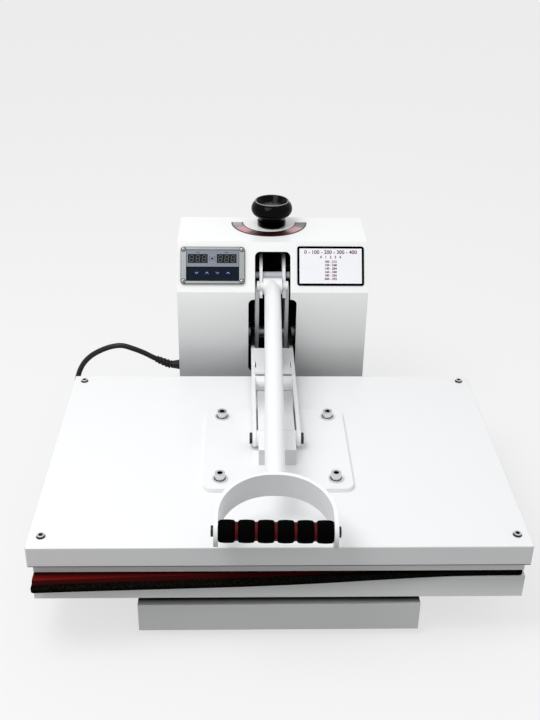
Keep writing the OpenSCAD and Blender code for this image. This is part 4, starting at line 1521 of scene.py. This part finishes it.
@dataclass
class Controller:
    """Small fittings of the temperature controller on the slanted panel.

    Fields, in metres: the panel, and the bezel's middle on it. Counted from that middle come the half
    size and thickness of the bezel and the face, the key strip's middle and half height, the windows'
    places and thickness, and the keys' places and tops. Then come the pitch, half size and slant of
    the digits with the width and gap of their strokes, the half length, half stroke, spread and turn
    of an arrow's strokes, the height of the ink, the inset of the corner screws, the radius, rim and
    points of the lamp's dot, half the size of the brackets beside it, the half length and inset of
    their hooks and half their stroke, and the half size and height of the dash over each window.
    """

    panel: Panel = Panel()
    middle: tuple[float, float] = (-0.093, 0.042)
    bezel_half: tuple[float, float] = (0.0495, 0.029)
    bezel_thick: float = 0.004
    face_half: tuple[float, float] = (0.041, 0.0245)
    face_thick: float = 0.003
    strip_up: float = -0.0133
    strip_half: float = 0.0113
    window_x: tuple[float, float] = (-0.023, 0.0216)
    window_up: float = 0.0106
    window_thick: float = 0.002
    key_x: tuple[float, ...] = (-0.0248, -0.0088, 0.0075, 0.0239)
    key_drop: float = 0.0118
    key_top: float = 0.0036
    digit_pitch: float = 0.0098
    digit_half: tuple[float, float] = (0.0028, 0.0048)
    digit_slant: float = 0.09
    stroke: float = 0.0008
    stroke_gap: float = 0.00048
    arrow_half: tuple[float, float] = (0.0017, 0.00026)
    arrow_spread: float = 0.001156
    arrow_turn: float = math.radians(45.0)
    ink_height: float = 0.00012
    screw_inset: float = 0.0042
    lamp_radius: float = 0.0016
    lamp_rim: float = 0.0002
    lamp_points: int = 16
    bracket_half: tuple[float, float] = (0.0042, 0.0036)
    bracket_stroke: float = 0.00022
    hook_half: float = 0.0007
    hook_inset: float = 0.0006
    dash_half: tuple[float, float] = (0.0026, 0.0004)
    dash_up: float = 0.0096
    mark_height: float = 0.0001

    def __post_init__(self) -> None:
        """Finds the face that the fittings are counted from, at the bezel's middle."""
        self.on_panel = self.panel.face(*self.middle).point

    def digit(self, x: float) -> list[Shell]:
        """Gives the seven unlit segments of one digit, slanted a little to the right.

        Args:
            x: its middle, across the bezel.

        Returns:
            A shell for each segment.
        """
        wide, tall = self.digit_half
        bars = [(0.0, v * tall, wide, 0.0) for v in (-1.0, 0.0, 1.0)]
        bars += [(side * wide, v * tall / 2, tall / 2, math.pi / 2 - self.digit_slant)
                 for side in BOTH_WAYS for v in BOTH_WAYS]
        return [slab((half - self.stroke_gap, self.stroke / 2), self.ink_height, self.on_panel,
                     (x + across + self.digit_slant * up, self.window_up + up), turn, self.window_thick)
                for across, up, half, turn in bars]

    def build_digits(self) -> None:
        """Sets three unlit digits in each window."""
        places = [x + i * self.digit_pitch for x in self.window_x for i in (-1, 0, 1)]
        digits = join_parts([part for x in places for part in self.digit(x)])
        add_piece("display_digits", digits, SEGMENT, ROOT, smooth=False)

    def build_arrows(self) -> None:
        """Prints an arrow on each key, down and up in turn, that moves with its key."""
        for i, (x, body) in enumerate(zip(self.key_x, KEYS)):
            turn = BOTH_WAYS[i % 2] * self.arrow_turn
            strokes = [slab(self.arrow_half, self.ink_height, self.on_panel,
                            (x + side * self.arrow_spread, -self.key_drop), -side * turn, self.key_top)
                       for side in BOTH_WAYS]
            add_piece(f"{body}_arrow", join_parts(strokes), ARROW_INK, body, smooth=False)

    def build_screws(self) -> None:
        """Puts a screw in each corner of the bezel."""
        top = self.panel.face(*self.middle, self.bezel_thick)
        x, up = (half - self.screw_inset for half in self.bezel_half)
        places = [top.moved(side * x, v * up) for side in BOTH_WAYS for v in BOTH_WAYS]
        SheetScrews().build("bezel_screws", places, DULL_ZINC)

    def build_marks(self) -> None:
        """Prints a dot between two brackets beside the windows, for a lamp, and a dash over each."""
        x, up = sum(self.window_x) / 2, self.window_up
        wide, tall = self.bracket_half
        hook = (self.hook_half, self.bracket_stroke)
        bars = [((x + side * wide, up), (self.bracket_stroke, tall)) for side in BOTH_WAYS]
        bars += [((x + side * (wide - self.hook_inset), up + v * tall), hook)
                 for side in BOTH_WAYS for v in BOTH_WAYS]
        bars += [((window, up + self.dash_up), self.dash_half) for window in self.window_x]
        parts = [slab(half, self.mark_height, self.on_panel, centre, base=self.face_thick)
                 for centre, half in bars]
        r, rim = self.lamp_radius, self.lamp_rim
        lamp = self.panel.face(self.middle[0] + x, self.middle[1] + up, self.face_thick)
        parts.append(revolved(np.array(((r, 0.0), (r, rim), (0.0, 2 * rim))), self.lamp_points, lamp.point))
        add_piece("face_marks", join_parts(parts), MARK_INK, ROOT, smooth=False)

    def bezel_finish(self) -> Material:
        """Gives the bezel's grey brushed alloy, with a dark line at its outer edge, a painted shadow where
        it meets the panel.

        Returns:
            The material.
        """
        shader = BEZEL_ALLOY.shader()
        local = self.panel.local(shader, *self.middle)
        # painted shadow: a dark line round the bezel's outer edge
        shader.tint(shader.band(local, self.bezel_half, corner=0.004, width=0.0007), "3f4243")
        return shader.material

    def face_finish(self) -> Material:
        """Gives the printed face: pale brushed metal above, and a dark strip with a black edge below.

        Returns:
            The material.
        """
        shader = Shader("controller_face")
        local = self.panel.local(shader, *self.middle)
        lines = shader.effect("brushed_lines", Stretch=Axis.ALONG_X.value)["Lines"]
        strip = shader.vector("SUBTRACT", local, (0.0, 0.0, self.strip_up))
        height = shader.axes(shader.vector("ABSOLUTE", strip))["Z"]
        inside = shader.math("LESS_THAN", height, self.strip_half)
        edge = shader.band(strip, (self.face_half[0], self.strip_half), corner=0.002, width=0.0014)
        alloy = shader.mix(lines, tone("747a84"), tone("8a909b"))
        film = shader.mix(edge, tone("151c26"), tone("030408"))
        shader.set(Base_Color=shader.mix(inside, alloy, film))
        shader.tint(shader.band(local, self.face_half, corner=0.001, width=0.0006), "23272d")
        shader.set(Metallic=shader.span(inside, 0.35, 0.0), Roughness=shader.span(inside, 0.42, 0.55))
        shader.set(Specular_IOR_Level=0.05)
        shader.relief(lines, depth=0.000006)
        return shader.material

    def build(self) -> None:
        """Dresses the bezel and the face, and makes the fittings."""
        dress(self.bezel_finish(), "controller_bezel")
        dress(self.face_finish(), "controller_face")
        self.build_digits()
        self.build_arrows()
        self.build_screws()
        self.build_marks()


@dataclass
class LabelPlate:
    """Plain white plate with a black rim and rows of plain numbers.

    Fields: the panel, the plate's middle, half its size, thickness and corner radius, the rim's
    width, the upper rows of numbers, each with its size and its height over the plate's middle, the
    first numbers of the paired rows with their size, highest place and spacing, and the boldness,
    height and curve steps of the figures.
    """

    panel: Panel = Panel()
    middle: tuple[float, float] = (0.090, 0.042)
    half: tuple[float, float] = (0.052, 0.031)
    thick: float = 0.001
    corner: float = 0.004
    rim: float = 0.0036
    upper_rows: tuple[tuple[str, float, float], ...] = (
        ("0 - 100 - 200 - 300 - 400", 0.0082, 0.0190), ("0   1   2   3   4", 0.0056, 0.0122),
    )
    pairs: range = range(100, 201, 20)
    pair_size: float = 0.0049
    pair_top: float = 0.0052
    pair_step: float = 0.0054
    boldness: float = 0.00018
    ink_height: float = 0.00006
    curve_steps: int = 3

    def finish(self) -> Material:
        """Gives the plate's gloss white with its black rim.

        Returns:
            The material.
        """
        shader = Shader("label_plate")
        rim = shader.band(self.panel.local(shader, *self.middle), self.half, self.corner, self.rim)
        peel = shader.effect("orange_peel", Scale=300.0)
        white = shader.mix(peel["Cloud"], tone("fbfcff"), tone("f4f6fc"))
        shader.set(Base_Color=shader.mix(rim, white, tone("040308")), Metallic=rim)
        shader.set(Coat_Weight=shader.span(rim, 0.3, 0.0), Coat_Roughness=0.05)
        shader.rough(peel["Cloud"], 0.22, 0.3)
        shader.relief(peel["Height"], depth=0.000008)
        return shader.material

    def rows(self) -> list[tuple[str, float, float]]:
        """Lists the rows: the upper ones, then pairs by a linear rule.

        Returns:
            Each row's numbers, size and height.
        """
        pairs = [(f"{first} - {first * 9 // 5 + 32}", self.pair_size, self.pair_top - i * self.pair_step)
                 for i, first in enumerate(self.pairs)]
        return [*self.upper_rows, *pairs]

    def figures(self, row: str, size: float) -> tuple[np.ndarray, np.ndarray]:
        """Sets a row as flat figures.

        Args:
            row: its numbers.
            size: their size.

        Returns:
            Points and triangles, centred on the row's foot.
        """
        curve = bpy.data.curves.new("row", "FONT")
        curve.body, curve.size, curve.align_x = row, size, "CENTER"
        curve.resolution_u, curve.offset = self.curve_steps, self.boldness
        letters = put("row", curve)
        mesh = bpy.data.meshes.new_from_object(letters.evaluated_get(bpy.context.evaluated_depsgraph_get()))
        mesh.calc_loop_triangles()
        points = np.empty(3 * len(mesh.vertices))
        mesh.vertices.foreach_get("co", points)
        corners = np.empty(3 * len(mesh.loop_triangles), dtype=np.int32)
        mesh.loop_triangles.foreach_get("vertices", corners)
        bpy.data.objects.remove(letters)
        return points.reshape(-1, 3), corners.reshape(-1, 3)

    def build(self) -> None:
        """Dresses the plate and sets the rows of numbers on it as thin flat figures."""
        dress(self.finish(), "label_plate")
        plate = self.panel.face(*self.middle, self.thick + self.ink_height)
        parts = []
        for row, size, rise in self.rows():
            flat, corners = self.figures(row, size)
            parts.append((plate.point(flat[:, 0], flat[:, 1] + rise, 0.0), corners))
        add_piece("label_numbers", join_parts(parts), NUMBER_INK, ROOT, smooth=False)


@dataclass
class PressureScale:
    """Printed arc under the pressure knob.

    Fields: centre counted from the platen's middle, inner and outer radius, width and colour of the
    rim, and the bands' colours, each with the share of a half turn where it lies.
    """

    centre: tuple[float, float] = (-0.004, 0.380)
    inner: float = 0.042
    outer: float = 0.061
    rim: float = 0.0022
    rim_colour: str = "1b1415"
    bands: tuple[tuple[float, str], ...] = (
        (0.0, "a9abae"), (0.13, "8f8b8d"), (0.15, "d99aa0"), (0.26, "c98a90"), (0.32, "3a0d10"),
        (0.5, "1c0607"), (0.68, "3a0d10"), (0.74, "c98a90"), (0.85, "d99aa0"), (0.87, "77787b"),
        (1.0, "5c5d60"),
    )

    def finish(self) -> Material:
        """Gives the arc's print: bands of colour by the angle round its centre, with a dark rim.

        Returns:
            The material.
        """
        shader = Shader("pressure_scale")
        local = shader.offset(press(*self.centre, 0.0))
        axes = shader.axes(local)
        angle = shader.math("ARCTAN2", axes["Y"], axes["X"])
        ramp = shader.add("ValToRGB", {0: shader.span(angle, 0.0, 1.0, low=-math.pi, high=0.0)})
        stops = ramp.color_ramp.elements
        while len(stops) < len(self.bands):
            stops.new(1.0)
        for stop, (place, code) in zip(stops, self.bands):
            stop.position, stop.color = place, (*tone(code), 1.0)
        middle_radius, half = (self.inner + self.outer) / 2, (self.outer - self.inner) / 2
        off_middle = shader.math("ABSOLUTE", shader.math("SUBTRACT", shader.radius(local), middle_radius))
        rim = shader.math("GREATER_THAN", off_middle, half - self.rim)
        shader.set(Base_Color=shader.mix(rim, ramp.outputs[0], tone(self.rim_colour)))
        shader.set(Roughness=0.35, Coat_Weight=0.2)
        shader.relief(shader.effect("orange_peel", Scale=500.0)["Height"], depth=0.00001)
        return shader.material

    def build(self) -> None:
        """Dresses the scale plate."""
        dress(self.finish(), "scale_plate")


class Solids:
    """The solids that stay as they are, and the finish of each."""

    def paints(self) -> list[Dressing]:
        """Lists the enamels, with the painted shade, painted shadows and painted light laid over some of
        them.

        Returns:
            Each finish with the names of its nodes.
        """
        cover_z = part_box("head_cover")[0].z
        skirt_low, skirt_high = (corner.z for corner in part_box("bed_skirt"))
        bar_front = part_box("base_crossbars")[0].y
        block_front, block_back = (corner.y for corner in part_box("pivot_block"))
        # painted shadow in the joint: a dark line along the cover's lower edge
        lip_shadow = PaintedShading("4a4b4b", Way.Z, cover_z + 0.0013, cover_z + 0.0011)
        # painted shade: the arm goes near black as it runs into the tower
        arm_root_shade = PaintedShading("161718", Way.Y, PLATE_MID_Y + 0.236, PLATE_MID_Y + 0.250)
        # painted shadow: the yoke plates go black towards their tops, inside the tower
        yoke_head_shadow = PaintedShading(SHADOW_BLACK, Way.Z, 0.296, 0.312)
        # painted shadow of the lever on the rear of the block's top
        block_top_shadow = PaintedShading(SHADED_ENAMEL, Way.Y, block_back - 0.070, block_back - 0.020, looks=(0.7, 1.1))
        # painted shade on the block's front face
        block_face_shade = PaintedShading("d6d8d9", Way.Y, block_front + 0.0012, block_front + 0.0008, looks=(-0.5, 0.65))
        # painted shade: the tower front greys towards its foot
        front_foot_shade = PaintedShading(SHADED_ENAMEL, Way.Z, 0.27, 0.13)
        # painted light: the bed skirt pales towards its lower edge
        skirt_foot_light = PaintedShading("fdfdfd", Way.Z, skirt_high, skirt_low)
        # painted shadow of the bed on the crossbars' tops, fading out to the rear
        under_bed_shadow = PaintedShading("151616", Way.Y, bar_front, bar_front + 0.010, bar_front + 0.3, looks=(0.7, 1.1))
        return [
            (WHITE, ("cross_tubes", "mount_plate", "lever_pin", "lever_sleeve", "lever_tube", "lever_lug",
                     "handle_bow")),
            (Paint("bar_enamel", "b9bdc3", 0.4), ("crossbar",)),
            (Paint("block_enamel", ENAMEL, painted_shading=(block_top_shadow, block_face_shade)), ("pivot_block",)),
            (Paint("yoke_enamel", ENAMEL, painted_shading=(yoke_head_shadow,)), ("yoke_plates",)),
            (Paint("cover_enamel", ENAMEL, painted_shading=(lip_shadow,)), ("head_cover",)),
            (Paint("arm_enamel", ENAMEL, painted_shading=(arm_root_shade,)), ("arm_plates", "arm_web")),
            # skirt_enamel and base_enamel are greyer copies of the white enamel: painted shade on the lower
            # front faces
            (Paint("skirt_enamel", "e0e2e2", 0.36, (skirt_foot_light,)), ("bed_plate", "bed_skirt")),
            (Paint("base_enamel", "e6e8e8", 0.36, (under_bed_shadow,)), ("base_rails", "base_crossbars")),
            (Housing("tower_enamel", HOUSING_ENAMEL),
             ("control_panel", "tower_top", "side_panels", "rear_cover")),
            (Housing("tower_front_enamel", HOUSING_ENAMEL, painted_shading=(front_foot_shade,)), ("tower_front",)),
        ]

    def metals(self) -> list[Dressing]:
        """Lists the bare, blackened and plated metals.

        Returns:
            Each finish with the names of its nodes.
        """
        # painted shadow: the uprights go black towards their tops, inside the tower
        upright_head_shadow = PaintedShading(SHADOW_BLACK, Way.Z, 0.262, 0.275)
        # painted shade: the dark middle of each mount screw stands in for its hex socket
        mount_screws = {"node": "mount_screws", "outer": 0.00675, "inner": 0.0036}
        mount_washers = {"node": "mount_washers", "outer": 0.010, "inner": 0.0078}
        # painted shade: the dark middle of each cover screw stands in for its recess; past the rim it is
        # dark again
        cover_screws = {"node": "cover_screws", "outer": 0.00575, "inner": 0.0027, "rim": 0.0046}
        return [
            (Metal("bright_steel", "a9acaf", 0.3),
             ("hinge_shaft", "hinge_collars", "cover_standoffs", "toggle_link", "link_pin")),
            (Metal("upright_steel", "dfe1e2", 0.4, Axis.ALONG_Z, (upright_head_shadow,)), ("uprights",)),
            # near black, darker than the dark steel
            (Metal("near_black_steel", "060607", 0.6), ("nut_block", "pressure_screw", "thrust_plate")),
            (DARK, ("bed_posts", "pivot_bolt", "grip_bolt")),
            (RingedMetal("mount_screw_plate", "e2e3e4", 0.12, **mount_screws), ("mount_screws",)),
            (RingedMetal("mount_washer_plate", "eceded", 0.3, **mount_washers), ("mount_washers",)),
            (RingedMetal("cover_screw_plate", "d9dadb", 0.14, **cover_screws), ("cover_screws",)),
            (CoatedPlate("platen_alloy", "f4f3f3", 0.4), ("heat_plate",)),
        ]

    def mouldings(self) -> list[Dressing]:
        """Lists the plastics, rubbers and wool.

        Returns:
            Each finish with the names of its nodes.
        """
        return [
            (Moulding("black_moulding", "010101", 0.22, coat=0.08, specular=0.18), ("controller_case",)),
            (HighlightedKnob("knob_moulding", "000000", 0.12, specular=0.06), ("pressure_knob",)),
            (RUBBER, ("rubber_feet", "cord_gland", "cord_tie", "cord_plug")),
            (Moulding("key_blue", "081640", 0.4, specular=0.08), KEYS),
            (Moulding("grip_sleeve", "4a0408", 0.42, specular=0.08), ("grip_core",)),
            (Moulding("display_filter", "0e1012", 0.34, specular=0.12), ("display_windows",)),
            (Foam("mineral_wool", "8f8871", "d8cfad", 260.0), ("insulation",)),
        ]

    def dress(self) -> None:
        """Gives each listed node its finish."""
        for finish, nodes in self.paints() + self.metals() + self.mouldings():
            dress(finish.material(), *nodes)


def main() -> None:
    """Builds the studio, the lead, and then the finishes of the solids and each sub-assembly's pieces."""
    logging.basicConfig(level=logging.INFO, format="%(message)s")
    Studio().build()
    Effect.build_all()
    lead, grip = MainsLead(), HandleGrip()
    lead.build()
    Solids().dress()
    Pads().build()
    grip.build()
    Hardware().build(lead, grip)
    Controller().build()
    LabelPlate().build()
    PressureScale().build()


if __name__ == "__main__":
    main()
